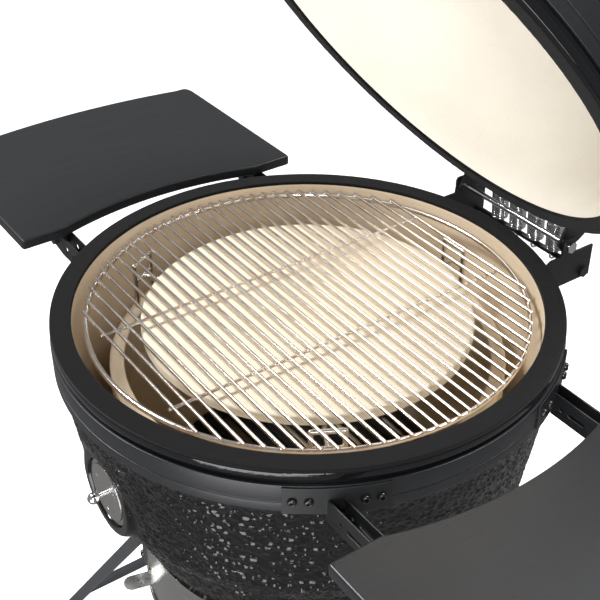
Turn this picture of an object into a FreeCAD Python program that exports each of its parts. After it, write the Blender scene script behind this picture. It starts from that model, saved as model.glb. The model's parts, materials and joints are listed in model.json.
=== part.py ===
"""Kamado ceramic grill on a splayed steel stand, with two folding side shelves.

Every piece is drawn about the bowl's upright axis with Z = 0 at the top of the base gasket, front
towards -Y and hinge towards +Y. Lid pieces are drawn with the lid shut. place() then stands base
pieces at their height above the floor and swings lid pieces open about the hinge pivot.
"""
import FreeCAD
import Part
import Sketcher
import os
import re

# (name, value, what it is); lengths in millimetres, angles in degrees
SIZES = [
    # where the grill stands
    ("rim_height", 860, "floor to the top of the base gasket"),
    ("axis_shift", -65.35, "bowl axis from the middle of the whole grill, along Y"),
    ("open_angle", 55.4, "lid opening at rest"),
    ("pivot_reach", 330, "bowl axis to the lid pivot"),
    ("pivot_rise", 0.7, "lid pivot above the base gasket"),
    # ceramic rim, shared by base and lid
    ("rim_radius", 300, "outer radius of the rim and gaskets"),
    ("rim_inner", 275, "inner radius of the rim and gaskets"),
    ("felt_thickness", 4, "gasket thickness"),
    ("felt_gap", 0.4, "free gap between the two gaskets"),
    ("lip_height", 10, "height of the glazed lip"),
    ("seat_radius", 297, "ceramic radius under the band"),
    ("groove_height", 6, "groove between lip and band"),
    ("band_height", 35, "height of a band"),
    ("band_thickness", 4, "thickness of a band"),
    ("bead_height", 1.6, "height of the line rolled into a band"),
    ("bead_depth", 0.7, "depth of that line"),
    ("shoulder", 58, "rim to where the side starts to curve"),
    # bowl
    ("belly_radius", 288, "outer radius half way down the side"),
    ("belly_drop", 118, "depth of that point"),
    ("waist_radius", 278.5, "outer radius where the side turns in"),
    ("waist_drop", 185, "depth of that point"),
    ("turn_radius", 271, "outer radius on the turn"),
    ("turn_drop", 213, "depth of that point"),
    ("glaze_radius", 252, "outer radius where the glaze ends"),
    ("glaze_drop", 236, "depth of the glaze's end"),
    ("undercut", 7, "step in under the glaze's end"),
    ("undercut_height", 3, "height of that step"),
    ("hip_radius", 234, "outer radius of the bare clay below"),
    ("hip_drop", 285, "depth of that point"),
    ("foot_gap", 8, "hoop radius to the bowl's foot"),
    ("foot_drop", 322, "depth of the bowl's foot"),
    ("bowl_floor", 25, "thickness of the bowl's floor"),
    ("ash_hole", 60, "radius of the hole in the floor"),
    ("inner_foot", 203, "inner radius at the floor"),
    ("inner_hip_radius", 229, "inner radius on the lower turn"),
    ("inner_hip_drop", 241, "depth of that point"),
    ("inner_waist_radius", 251, "inner radius at the waist"),
    ("inner_waist_drop", 190, "depth of that point"),
    ("inner_belly_radius", 267, "inner radius half way up the side"),
    ("inner_belly_drop", 100, "depth of that point"),
    # fire parts
    ("ring_radius", 238, "outer radius of the fire ring"),
    ("ring_wall", 18, "wall of the fire ring"),
    ("ring_drop", 73, "depth of the fire ring's top"),
    ("ring_height", 62, "height of the fire ring"),
    ("box_foot_radius", 198, "outer radius of the fire box at its foot"),
    ("box_wall", 14, "wall of the fire box"),
    ("ledge_width", 26, "foot ring under the charcoal grate"),
    ("ledge_height", 11, "height of that ring"),
    ("coal_radius", 181, "radius of the charcoal grate"),
    ("coal_thickness", 8, "thickness of the charcoal grate"),
    ("coal_slot", 12, "width of a slot in the charcoal grate"),
    ("coal_pitch", 30, "pitch of its slots"),
    ("coal_slot_half", 5, "slots each side of the middle one"),
    ("coal_rim", 22, "solid rim of the charcoal grate"),
    # deflector and its rack
    ("plate_radius", 197, "radius of the deflector plate"),
    ("plate_drop", 20, "depth of its top face"),
    ("plate_thickness", 13, "its thickness"),
    ("rack_wire", 3, "radius of the rack's wire"),
    ("rack_ring", 186, "radius of the rack's ring"),
    ("rack_leg_radius", 229, "radius of the rack's legs from the axis"),
    ("rack_leg_half", 18, "half the width of a rack leg"),
    ("rack_gap", 0.3, "free gap under the cooking grate"),
    # cooking grate
    ("grate_ring", 259.6, "radius of the grate's ring"),
    ("grate_ring_wire", 3, "wire radius of that ring"),
    ("grate_drop", 12, "depth of the ring's centre line"),
    ("grate_radius", 262, "where the bars end"),
    ("bar_wire", 2, "wire radius of a bar"),
    ("bar_pitch", 14.7, "pitch of the bars"),
    ("bar_count", 32, "number of bars"),
    ("cross_offset", 78, "cross wires from the middle"),
    ("cross_half", 232, "half length of a cross wire"),
    ("weld_bite", 0.6, "how far a welded wire sinks into another"),
    # hoop, draft door and ash pan
    ("hoop_radius", 220, "outer radius of the steel hoop"),
    ("hoop_wall", 1.5, "its wall"),
    ("hoop_flange", 30, "width of its top flange"),
    ("hoop_depth", 116, "its height"),
    ("draft_half", 18, "half angle of the draft opening"),
    ("draft_height", 50, "height of the draft opening"),
    ("draft_drop", 400, "depth of its middle"),
    ("door_gap", 0.8, "free gap between door and hoop"),
    ("door_wall", 1.4, "thickness of the draft door"),
    ("door_lap", 3, "how far the door covers past the opening"),
    ("door_lap_angle", 4, "the same, round the hoop"),
    ("door_travel", 29, "turn of the draft door"),
    ("rail_wall", 1, "thickness of a rail"),
    ("rail_lip", 5, "height of a rail's lip"),
    ("rail_gap", 0.5, "free gap between door and rails"),
    ("tab_angle", -104.6, "where the draft tab stands"),
    ("tab_width", 22, "width of the draft tab"),
    ("tab_reach", 28, "how far the tab stands out from the door"),
    ("tab_thickness", 3, "its thickness"),
    ("pan_gap", 5, "free gap round the ash pan"),
    ("pan_height", 9, "height of the ash pan"),
    ("pan_ledge", 14, "width of the hoop's lower flange"),
    # stand
    ("leg_width", 14, "width of a square leg"),
    ("leg_side", 200, "legs from the middle, along Y"),
    ("leg_root", 92, "leg from the middle where it meets the hoop"),
    ("leg_root_drop", 355, "depth of that point"),
    ("leg_lean", 36, "lean of a leg from upright"),
    ("leg_head", 20, "leg drawn above that point, then cut to the bracket"),
    ("bracket_angle", 65, "where a leg bracket sits on the hoop"),
    ("bracket_half", 8, "half its angle"),
    ("bracket_wall", 3, "its thickness"),
    ("bracket_drop", 333, "depth of its top"),
    ("bracket_height", 52, "its height"),
    ("foot_height", 10, "height of a rubber foot"),
    ("foot_radius", 15, "radius of a rubber foot"),
    ("stretcher_height", 120, "stretcher above the floor"),
    ("stretcher_width", 12, "width of a square stretcher"),
    ("bolt_head", 5, "radius of a bolt head"),
    ("bolt_height", 4, "height of a bolt head"),
    # chip feeder port
    ("port_drop", 164, "depth of the port's middle"),
    ("port_face", 282, "face of the ceramic collar from the axis"),
    ("collar_radius", 52, "radius of the ceramic collar"),
    ("collar_depth", 28, "length of the collar's boss"),
    ("port_recess", 43.5, "radius of the recess in the collar"),
    ("recess_depth", 6, "depth of that recess"),
    ("port_bore", 39, "radius of the hole through the bowl"),
    ("port_plate", 41.5, "radius of the port's plate"),
    ("port_plate_wall", 3, "thickness of the port's plate"),
    ("port_tube", 38, "outer radius of the port's tube"),
    ("port_tube_wall", 1.5, "wall of the tube"),
    ("port_tube_length", 66, "length of the tube"),
    ("port_hole", 2.2, "radius of a hole in the port's plate"),
    ("port_hole_ring", 24, "radius of the ring of holes"),
    ("port_hole_count", 3, "number of those holes"),
    ("shutter_radius", 36, "radius of the turning shutter"),
    ("shutter_wall", 1.5, "its thickness"),
    ("shutter_gap", 0.3, "free gap behind it"),
    ("port_pin", 3, "radius of the knob's pin"),
    ("running_gap", 0.05, "radial clearance of a pin in a turning piece"),
    ("knob_stem", 3.2, "radius of the knob's stem"),
    ("knob_length", 16, "plate to the middle of the ball"),
    ("knob_ball", 7.1, "radius of the ball"),
    # shelf arms
    ("arm_side", 150.5, "arms from the middle, along Y"),
    ("arm_width", 17, "outer width of an arm"),
    ("arm_wall", 2, "wall of an arm"),
    ("arm_top_drop", 36, "depth of an arm's upper edge"),
    ("arm_depth", 30, "height of an arm"),
    ("arm_root", 226, "arm drawn from here, then cut to the band"),
    ("pin_reach", 365, "shelf pivot from the middle, along X"),
    ("pin_drop", 49, "depth of the shelf pivot"),
    ("pin_radius", 4, "radius of a shelf pin"),
    ("pin_cap", 8, "radius of its round cap"),
    ("arm_nose", 13, "radius of the arm's rounded end"),
    ("web_back", 18, "pivot to the end of the arm's bottom"),
    ("arm_slot_length", 24, "slot through the arm's sides"),
    ("arm_slot_radius", 2.5, "half the width of that slot"),
    ("arm_slot_reach", 302, "middle of that slot, along X"),
    ("arm_hole_reach", 280, "round hole beside the slot, along X"),
    ("arm_slot_drop", 53, "depth of the slot and hole"),
    ("arm_window", 4, "radius of the hole in an arm's side"),
    ("arm_window_reach", 330, "that hole along X"),
    ("flange_wall", 2.5, "thickness of an arm's flange"),
    ("flange_angle", 29.7, "where an arm's flange sits on the band"),
    ("flange_half", 10.4, "half its angle"),
    ("flange_drop", 21, "depth of its top"),
    ("flange_height", 34, "its height"),
    ("bolt_near", 5.3, "nearer bolt of a flange, as an angle from the arm's middle"),
    ("bolt_far", 8.4, "farther bolt, as an angle from the arm's middle"),
    # shelves
    ("shelf_edge", 336, "inner corner of a shelf, along X"),
    ("shelf_hollow", 361, "inner edge at the middle, along X"),
    ("shelf_end", 632, "outer edge beside the corner, along X"),
    ("shelf_bow", 650, "outer edge at the middle, along X"),
    ("shelf_half", 210, "half length of a shelf, along Y"),
    ("shelf_shift", -6, "middle of a shelf from the bowl's middle, along Y"),
    ("shelf_straight", 60, "straight part of the inner edge"),
    ("shelf_corner", 23, "radius of an outer corner"),
    ("shelf_drop", 20, "depth of a shelf's top"),
    ("shelf_thickness", 15, "thickness of a shelf"),
    ("bracket_length", 66, "shelf bracket outboard of the pivot"),
    ("bracket_nose", 11, "shelf bracket round the pivot"),
    ("bracket_slack", 1, "free gap between bracket and arm, each side"),
    ("bracket_steel", 2.5, "thickness of a shelf bracket"),
    ("screw_head", 2.6, "radius of a screw head"),
    ("screw_height", 2.5, "height of a screw head"),
    # hinge
    ("cheek_side", 100, "hinge plates from the middle, along X"),
    ("cheek_wall", 3, "thickness of a hinge plate"),
    ("cheek_top_drop", 11, "depth of a hinge plate's level top"),
    ("cheek_gap", 5, "free gap between a hinge plate and a lid arm"),
    ("cheek_flange_angle", 67, "middle of a hinge flange on the band"),
    ("cheek_flange_half", 4.3, "half its angle"),
    ("hinge_bolt_near", 1.2, "nearer bolt of a hinge flange, as an angle towards the plate"),
    ("hinge_bolt_far", -2.0, "farther bolt, the same way"),
    ("lid_flange_shift", 1.4, "a lid flange past the base's, as an angle"),
    ("pivot_radius", 4, "radius of the hinge rod"),
    ("rod_head", 8, "radius of a rod's hex head"),
    ("rod_head_height", 5, "height of that head"),
    ("lower_bar_reach", 360, "lower spring bar from the bowl axis"),
    ("lower_bar_drop", 46, "depth of the lower spring bar"),
    ("upper_bar_reach", 338.2, "upper spring bar with the lid shut"),
    ("upper_bar_rise", 25.4, "its height with the lid shut"),
    ("bar_radius", 4, "radius of a spring bar"),
    # springs
    ("spring_count", 4, "number of springs"),
    ("spring_pitch", 34, "springs apart, along X"),
    ("coil_radius", 10, "radius of the coil's centre line"),
    ("coil_wire", 1.5, "radius of the spring wire"),
    ("coil_turns", 8, "turns of a spring"),
    ("eye_radius", 6.6, "radius of a spring's eye"),
    # lid
    ("lid_wall", 24, "wall of the lid"),
    ("knuckle_radius", 150, "radius of the lid's shoulder"),
    ("crown_radius", 330, "radius of the lid's crown"),
    ("neck_radius", 62, "outer radius of the vent neck"),
    ("neck_bore", 48, "bore of the vent neck"),
    ("neck_top", 290, "top of the neck above the rim"),
    # handle
    ("handle_reach", 366, "handle from the bowl axis"),
    ("handle_rise", 37, "handle above the rim"),
    ("handle_radius", 14, "radius of the handle"),
    ("handle_half", 165, "half length of the handle"),
    ("post_side", 120, "handle posts from the middle, along X"),
    ("post_radius", 7, "radius of a handle post"),
    ("post_foot", 13, "radius of a post's foot"),
    ("post_foot_height", 6, "height of a post's foot"),
    # thermometer
    ("gauge_lean", 26, "thermometer above level"),
    ("gauge_case", 31, "radius of the case"),
    ("gauge_depth", 14, "depth of the case"),
    ("gauge_wall", 2.5, "wall of the case"),
    ("gauge_stand", 1.5, "case in front of the lid"),
    ("gauge_floor", 3, "thickness of the case's back"),
    ("dial_thickness", 1, "thickness of the dial"),
    ("needle_length", 20, "needle from its hub"),
    ("needle_width", 2.4, "width of the needle"),
    ("needle_wall", 0.8, "thickness of the needle"),
    ("needle_gap", 1, "needle in front of the dial"),
    ("needle_hub", 3, "radius of the needle's hub"),
    ("needle_rest", 135, "needle's turn from upright when cold"),
    ("glass_thickness", 2, "thickness of the glass"),
    ("glass_recess", 1.5, "glass behind the case's edge"),
    ("stem_radius", 3, "radius of the probe"),
    ("stem_length", 62, "length of the probe"),
    # top vent
    ("vent_radius", 70, "outer radius of the vent collar"),
    ("vent_skirt", 10, "height of its skirt"),
    ("vent_plate", 3, "thickness of its plate"),
    ("vent_hole", 12, "radius of a vent hole"),
    ("vent_hole_ring", 30, "radius of the ring of holes"),
    ("vent_hole_count", 5, "number of vent holes"),
    ("wheel_radius", 60, "radius of the turning vent wheel"),
    ("wheel_wall", 3, "its thickness"),
    ("wheel_gap", 0.3, "free gap under it"),
    ("vent_knob", 11, "radius of the vent knob"),
    ("vent_knob_height", 14, "height of the vent knob"),
    ("vent_nut", 8, "radius of the nut below"),
]

os.makedirs("parts", exist_ok=True)
doc = FreeCAD.newDocument("kamado_grill")
sheet = doc.addObject("Spreadsheet::Sheet", "sizes")
for row, (name, value, meaning) in enumerate(SIZES, start=1):
    sheet.set(f"A{row}", meaning)
    sheet.set(f"B{row}", str(value))
    sheet.setAlias(f"B{row}", name)
doc.recompute()
NAMES = {name for name, value, meaning in SIZES}
PIECES = []          # the finished sub-parts
LID = []             # the ones that swing with the lid
serial = iter(range(100000))


# ---- helpers ---------------------------------------------------------------------------------

def size(name):
    """A driving dimension as a number."""
    return float(sheet.get(name))


def bound(text):
    """The expression with each size's name pointing at the sheet."""
    return re.sub(r"[a-z_]+", lambda word: f"sizes.{word[0]}" if word[0] in NAMES else word[0], text)


def tie(thing, **expressions):
    """Bind properties to expressions."""
    for prop, text in expressions.items():
        thing.setExpression(prop, bound(str(text)))


def at(thing, x="0", y="0", z="0"):
    """Bind the place of a primitive to expressions."""
    for axis, text in zip("xyz", (x, y, z)):
        thing.setExpression(f".Placement.Base.{axis}", bound(str(text)))
    return thing


def new(kind, label="shape"):
    """A document object with a name of its own."""
    return doc.addObject(kind, f"{label}_{next(serial)}" if label == "shape" else label)


def block(x, y, z, long, wide, high):
    """A box from its lowest corner."""
    thing = new("Part::Box")
    tie(thing, Length=long, Width=wide, Height=high)
    return at(thing, x, y, z)


TURN = {
    "+Z": FreeCAD.Rotation(),
    "+X": FreeCAD.Rotation(FreeCAD.Vector(0, 1, 0), 90),
    "-X": FreeCAD.Rotation(FreeCAD.Vector(0, 1, 0), -90),
    "+Y": FreeCAD.Rotation(FreeCAD.Vector(1, 0, 0), -90),
    "-Y": FreeCAD.Rotation(FreeCAD.Vector(1, 0, 0), 90),
}


def rod(radius, length, x="0", y="0", z="0", way="+Z"):
    """A round bar from its start, pointing along an axis."""
    thing = new("Part::Cylinder")
    tie(thing, Radius=radius, Height=length)
    thing.Placement = FreeCAD.Placement(FreeCAD.Vector(), TURN[way])
    return at(thing, x, y, z)


def spoke(radius, length, angle, reach, z):
    """A round bar standing out from the upright axis at an angle."""
    bar = rod(radius, length, reach, "0", z, "+X")
    thing = group(f"spoke_{next(serial)}", [bar])
    thing.setExpression(".Placement.Rotation.Angle", bound(str(angle)))
    return thing


def cut(label, base, *tools):
    """The base less the tools."""
    for count, tool in enumerate(tools):
        last = count == len(tools) - 1
        result = new("Part::Cut", label if last else "shape")
        result.Base = base
        result.Tool = tool
        base = result
    return base


def fuse(label, *shapes):
    """The shapes joined as one solid."""
    result = new("Part::MultiFuse", label)
    result.Shapes = list(shapes)
    result.Refine = True
    return result


def group(label, shapes):
    """Like pieces kept as separate solids."""
    result = new("Part::Compound", label)
    result.Links = list(shapes)
    return result


def sector(inner, outer, z, high, angle, half, label="shape"):
    """Part of an upright ring, about a middle angle."""
    rings = []
    for radius in (outer, inner):
        ring = new("Part::Cylinder")
        extra = "0" if radius == outer else "4"
        tie(ring, Radius=radius, Height=f"{high} + {extra} / 2", Angle=f"2 * ({half}) + {extra}")
        turn = FreeCAD.Rotation(FreeCAD.Vector(0, 0, 1), 0)
        ring.Placement = FreeCAD.Placement(FreeCAD.Vector(), turn)
        ring.setExpression(".Placement.Rotation.Angle", bound(f"({angle}) - ({half}) - {extra} / 2"))
        at(ring, z=f"({z}) - {extra} / 4")
        rings.append(ring)
    return cut(label, *rings)


def ring(label, outer, inner, z, high):
    """A flat ring about the upright axis."""
    return cut(label, rod(outer, high, z=z), rod(inner, f"({high}) + 2", z=f"({z}) - 1"))


def outline(sketch, corners):
    """A closed outline. A corner is (across, up); a third word, via, marks a point of an arc."""
    for count, corner in enumerate(corners):
        sketch.addGeometry(Part.Point(FreeCAD.Vector(count + 1, count + 1, 0)), True)
        for kind, text in zip(("DistanceX", "DistanceY"), corner):
            index = sketch.addConstraint(Sketcher.Constraint(kind, -1, 1, count, 1, 1.0))
            sketch.setExpression(f"Constraints[{index}]", bound(str(text)))
    sketch.recompute()
    spots = [FreeCAD.Vector(point.X, point.Y, 0) for point in sketch.Geometry]
    ends = [count for count, corner in enumerate(corners) if len(corner) == 2]
    for start, end in zip(ends, ends[1:] + ends[:1]):
        middle = (start + 1) % len(corners)
        if middle == end:
            edge = sketch.addGeometry(Part.LineSegment(spots[start], spots[end]), False)
        else:
            bend = (spots[middle] - spots[start]).cross(spots[end] - spots[middle]).z
            if bend < 0:
                start, end = end, start
            edge = sketch.addGeometry(Part.Arc(spots[start], spots[middle], spots[end]), False)
            sketch.addConstraint(Sketcher.Constraint("PointOnObject", middle, 1, edge))
        sketch.addConstraint(Sketcher.Constraint("Coincident", edge, 1, start, 1))
        sketch.addConstraint(Sketcher.Constraint("Coincident", edge, 2, end, 1))


def sketched(label, plane, corners, offset="0"):
    """A body with one outline on one of its origin planes, moved along that plane's normal."""
    body = new("PartDesign::Body", label)
    sketch = body.newObject("Sketcher::SketchObject", f"{body.Name}_outline")
    origin = next(item for item in body.Origin.OriginFeatures if item.Role == plane)
    sketch.AttachmentSupport = [(origin, "")]
    sketch.MapMode = "FlatFace"
    sketch.setExpression(".AttachmentOffset.Base.z", bound(offset))
    outline(sketch, corners)
    return body, sketch


def turned(label, corners):
    """A body turned about its upright axis; corners are (radius, height)."""
    body, sketch = sketched(label, "XZ_Plane", corners)
    turn = body.newObject("PartDesign::Revolution", f"{body.Name}_turn")
    turn.Profile = sketch
    turn.ReferenceAxis = (sketch, ["V_Axis"])
    turn.Angle = 360
    body.Tip = turn
    return body


def padded(label, plane, corners, start, length):
    """A plate drawn on a plane, from start for a length along that plane's normal."""
    body, sketch = sketched(label, plane, corners, start)
    pad = body.newObject("PartDesign::Pad", f"{body.Name}_pad")
    pad.Profile = sketch
    tie(pad, Length=length)
    body.Tip = pad
    return body


def piece(thing, lid=False):
    """Mark an object as a finished sub-part."""
    thing.Label = thing.Name
    PIECES.append(thing)
    if lid:
        LID.append(thing)
    return thing


# ---- shared levels ---------------------------------------------------------------------------

BAND_TOP = "(felt_thickness + lip_height + groove_height)"
BAND_OUTER = "(seat_radius + band_thickness)"
LID_RIM = "(felt_gap + felt_thickness)"
LID_SHOULDER = "(felt_gap + shoulder)"
SIDES = {"left": -1, "right": 1}


def band(label, low):
    """A steel band with a line rolled into its lower third."""
    line = f"({low}) + band_height / 3"
    side = [("seat_radius", low), (BAND_OUTER, low), (BAND_OUTER, line),
            (f"{BAND_OUTER} - bead_depth", line),
            (f"{BAND_OUTER} - bead_depth", f"{line} + bead_height"),
            (BAND_OUTER, f"{line} + bead_height"),
            (BAND_OUTER, f"({low}) + band_height"), ("seat_radius", f"({low}) + band_height")]
    return turned(label, side)


# ---- ceramic base ----------------------------------------------------------------------------

def base_bowl():
    """The bowl, with the chip port's collar on its front."""
    blank = turned("bowl_blank", [
        ("rim_inner", "-felt_thickness"), ("rim_radius", "-felt_thickness"),
        ("rim_radius", "-felt_thickness - lip_height"), ("seat_radius", "-felt_thickness - lip_height"),
        ("seat_radius", "-shoulder"), ("belly_radius", "-belly_drop", "via"),
        ("waist_radius", "-waist_drop"), ("turn_radius", "-turn_drop", "via"),
        ("glaze_radius", "-glaze_drop"), ("glaze_radius - undercut", "-glaze_drop - undercut_height"),
        ("hip_radius", "-hip_drop", "via"), ("hoop_radius - foot_gap", "-foot_drop"),
        ("ash_hole", "-foot_drop"), ("ash_hole", "-foot_drop + bowl_floor"),
        ("inner_foot", "-foot_drop + bowl_floor"), ("inner_hip_radius", "-inner_hip_drop", "via"),
        ("inner_waist_radius", "-inner_waist_drop"), ("inner_belly_radius", "-inner_belly_drop", "via"),
    ])
    boss = rod("collar_radius", "collar_depth", y="collar_depth - port_face", z="-port_drop", way="-Y")
    spot_face = rod("collar_radius", "collar_depth", y="-port_face", z="-port_drop", way="-Y")
    recess = rod("port_recess", "recess_depth + 1", y="recess_depth - port_face", z="-port_drop",
                 way="-Y")
    bore = rod("port_bore", "port_face", z="-port_drop", way="-Y")
    piece(cut("base_bowl", fuse("bowl_with_collar", blank, boss), spot_face, recess, bore))


def base_trim():
    """The gasket on the rim and the band round it."""
    piece(ring("base_gasket", "rim_radius", "rim_inner", "-felt_thickness", "felt_thickness"))
    piece(band("base_band", f"-{BAND_TOP} - band_height"))


def fire_parts():
    """Fire ring, fire box and charcoal grate, stacked inside the bowl."""
    seam = "(-ring_drop - ring_height)"
    floor = "(-foot_drop + bowl_floor)"
    ring_body = ring("fire_ring_blank", "ring_radius", "ring_radius - ring_wall", seam, "ring_height")
    box_body = turned("fire_box_blank", [
        ("ring_radius - 2", seam), ("box_foot_radius", floor),
        ("box_foot_radius - ledge_width", floor),
        ("box_foot_radius - ledge_width", f"{floor} + ledge_height"),
        ("box_foot_radius - box_wall", f"{floor} + ledge_height"),
        ("ring_radius - ring_wall", seam)])
    for label, blank in (("fire_ring", ring_body), ("fire_box", box_body)):
        arch = rod("port_bore", "ring_radius", z="-port_drop", way="-Y")
        piece(cut(label, blank, arch))
    disc = rod("coal_radius", "coal_thickness", z=f"{floor} + ledge_height")
    slots = []
    for count in range(-int(size("coal_slot_half")), int(size("coal_slot_half")) + 1):
        reach = f"sqrt((coal_radius - coal_rim) ^ 2 - ({count} * coal_pitch) ^ 2)"
        slots.append(block(f"-{reach}", f"{count} * coal_pitch - coal_slot / 2",
                           f"{floor} + ledge_height - 1", f"2 * {reach}", "coal_slot",
                           "coal_thickness + 2"))
    piece(cut("charcoal_grate", disc, group("coal_slots", slots)))


def deflector():
    """The stone plate and the wire rack that carries it on the fire ring."""
    piece(turned("deflector_plate", [
        ("0", "-plate_drop - plate_thickness"), ("plate_radius", "-plate_drop - plate_thickness"),
        ("plate_radius", "-plate_drop - 2"), ("plate_radius - 2", "-plate_drop"),
        ("0", "-plate_drop")]))
    level = "(-plate_drop - plate_thickness - rack_wire)"
    top = "(-grate_drop + grate_ring_wire - weld_bite - rack_gap - rack_wire)"
    hoop = new("Part::Torus")
    tie(hoop, Radius1="rack_ring", Radius2="rack_wire")
    at(hoop, z=level)
    wires = [hoop]
    for angle in (90, 210, 330):
        wires.append(spoke("rack_wire", "rack_leg_radius - rack_ring", angle, "rack_ring", level))
        for side in (-1, 1):
            offset = f"{side} * rack_leg_half"
            x = f"rack_leg_radius * cos({angle}) - {offset} * sin({angle})"
            y = f"rack_leg_radius * sin({angle}) + {offset} * cos({angle})"
            wires.append(rod("rack_wire", f"ring_drop + {top}", x, y, "-ring_drop"))
            knee = new("Part::Sphere")
            tie(knee, Radius="rack_wire")
            wires.append(at(knee, x, y, top))
        for height in (level, top):
            bar = new("Part::Cylinder")
            tie(bar, Radius="rack_wire", Height="2 * rack_leg_half")
            turn = FreeCAD.Rotation(FreeCAD.Vector(0, 0, 1), angle)
            bar.Placement = FreeCAD.Placement(FreeCAD.Vector(), turn * TURN["+Y"])
            wires.append(at(bar, f"rack_leg_radius * cos({angle}) + rack_leg_half * sin({angle})",
                            f"rack_leg_radius * sin({angle}) - rack_leg_half * cos({angle})", height))
    piece(fuse("deflector_rack", *wires))


def cooking_grate():
    """Round bars welded on a ring and two cross wires."""
    hoop = new("Part::Torus")
    tie(hoop, Radius1="grate_ring", Radius2="grate_ring_wire")
    at(hoop, z="-grate_drop")
    level = "(-grate_drop + grate_ring_wire + bar_wire - weld_bite)"
    wires = [hoop]
    count = int(size("bar_count"))
    for index in range(count):
        across = f"({index} - (bar_count - 1) / 2) * bar_pitch"
        half = f"sqrt(grate_radius ^ 2 - ({across}) ^ 2)"
        wires.append(rod("bar_wire", f"2 * {half}", f"-{half}", across, level, "+X"))
    for side in (-1, 1):
        wires.append(rod("bar_wire", "2 * cross_half", f"{side} * cross_offset", "-cross_half",
                         f"{level} - 2 * bar_wire + weld_bite", "+Y"))
    piece(fuse("cooking_grate", *wires))


# ---- hoop, draft door and ash pan ------------------------------------------------------------

DRAFT_ANGLE = "-90"
DOOR_INNER = "(hoop_radius - hoop_wall - door_gap - door_wall)"
DOOR_HALF_HEIGHT = "(draft_height / 2 + door_lap)"


def base_hoop():
    """The steel hoop under the bowl, with a flange above and below and a window at the front."""
    shell = turned("hoop_blank", [
        ("hoop_radius - hoop_flange", "-foot_drop"), ("hoop_radius", "-foot_drop"),
        ("hoop_radius", "-foot_drop - hoop_depth"),
        ("hoop_radius - pan_ledge", "-foot_drop - hoop_depth"),
        ("hoop_radius - pan_ledge", "-foot_drop - hoop_depth + hoop_wall"),
        ("hoop_radius - hoop_wall", "-foot_drop - hoop_depth + hoop_wall"),
        ("hoop_radius - hoop_wall", "-foot_drop - hoop_wall"),
        ("hoop_radius - hoop_flange", "-foot_drop - hoop_wall")])
    window = sector("hoop_radius - 20", "hoop_radius + 20", "-draft_drop - draft_height / 2",
                    "draft_height", DRAFT_ANGLE, "draft_half")
    piece(cut("base_hoop", shell, window))


def draft_parts():
    """Rails inside the hoop, the sliding door between them and its tab."""
    reach = "hoop_radius - hoop_wall"
    lip = f"({DOOR_INNER} - rail_gap - rail_wall)"
    middle = "(-90 + door_travel / 2)"
    half = "(draft_half + door_lap_angle + door_travel / 2 + 2)"
    rails = []
    for side in (-1, 1):
        edge = f"({side} * ({DOOR_HALF_HEIGHT} + rail_gap) - draft_drop)"
        low = edge if side > 0 else f"({edge} - rail_wall)"
        lip_low = f"({edge} + rail_wall - rail_lip)" if side > 0 else f"({edge} - rail_wall)"
        leg = sector(lip, reach, low, "rail_wall", middle, half)
        fold = sector(lip, f"{lip} + rail_wall", lip_low, "rail_lip", middle, half)
        rails.append(fuse("shape", leg, fold))
    piece(group("door_rails", rails))
    piece(sector(DOOR_INNER, f"{DOOR_INNER} + door_wall", f"-draft_drop - {DOOR_HALF_HEIGHT}",
                 f"2 * {DOOR_HALF_HEIGHT}", DRAFT_ANGLE, "draft_half + door_lap_angle", "draft_door"))
    slab = padded("tab_blank", "XY_Plane", [
        ("0", "-tab_width / 2"), (f"{DOOR_INNER} + tab_reach", "-tab_width / 2"),
        (f"{DOOR_INNER} + tab_reach + tab_width / 2", "0", "via"),
        (f"{DOOR_INNER} + tab_reach", "tab_width / 2"), ("0", "tab_width / 2")],
        "-draft_drop - tab_thickness / 2", "tab_thickness")
    slab.setExpression(".Placement.Rotation.Angle", bound("tab_angle"))
    inside = rod(f"{DOOR_INNER} + door_wall", "20", z="-draft_drop - 10")
    piece(cut("draft_tab", slab, inside))


def ash_pan():
    """A dish lying on the hoop's lower flange."""
    floor = "(-foot_drop - hoop_depth + hoop_wall)"
    edge = "(hoop_radius - hoop_wall - pan_gap)"
    piece(turned("ash_pan", [
        ("0", floor), (edge, floor), (edge, f"{floor} + pan_height"),
        (f"{edge} - hoop_wall", f"{floor} + pan_height"), (f"{edge} - hoop_wall", f"{floor} + hoop_wall"),
        ("0", f"{floor} + hoop_wall")]))


# ---- stand -----------------------------------------------------------------------------------

def leg_reach(drop):
    """A leg's middle line along X at a depth."""
    return f"(leg_root + ({drop} - leg_root_drop) * tan(leg_lean))"


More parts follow.
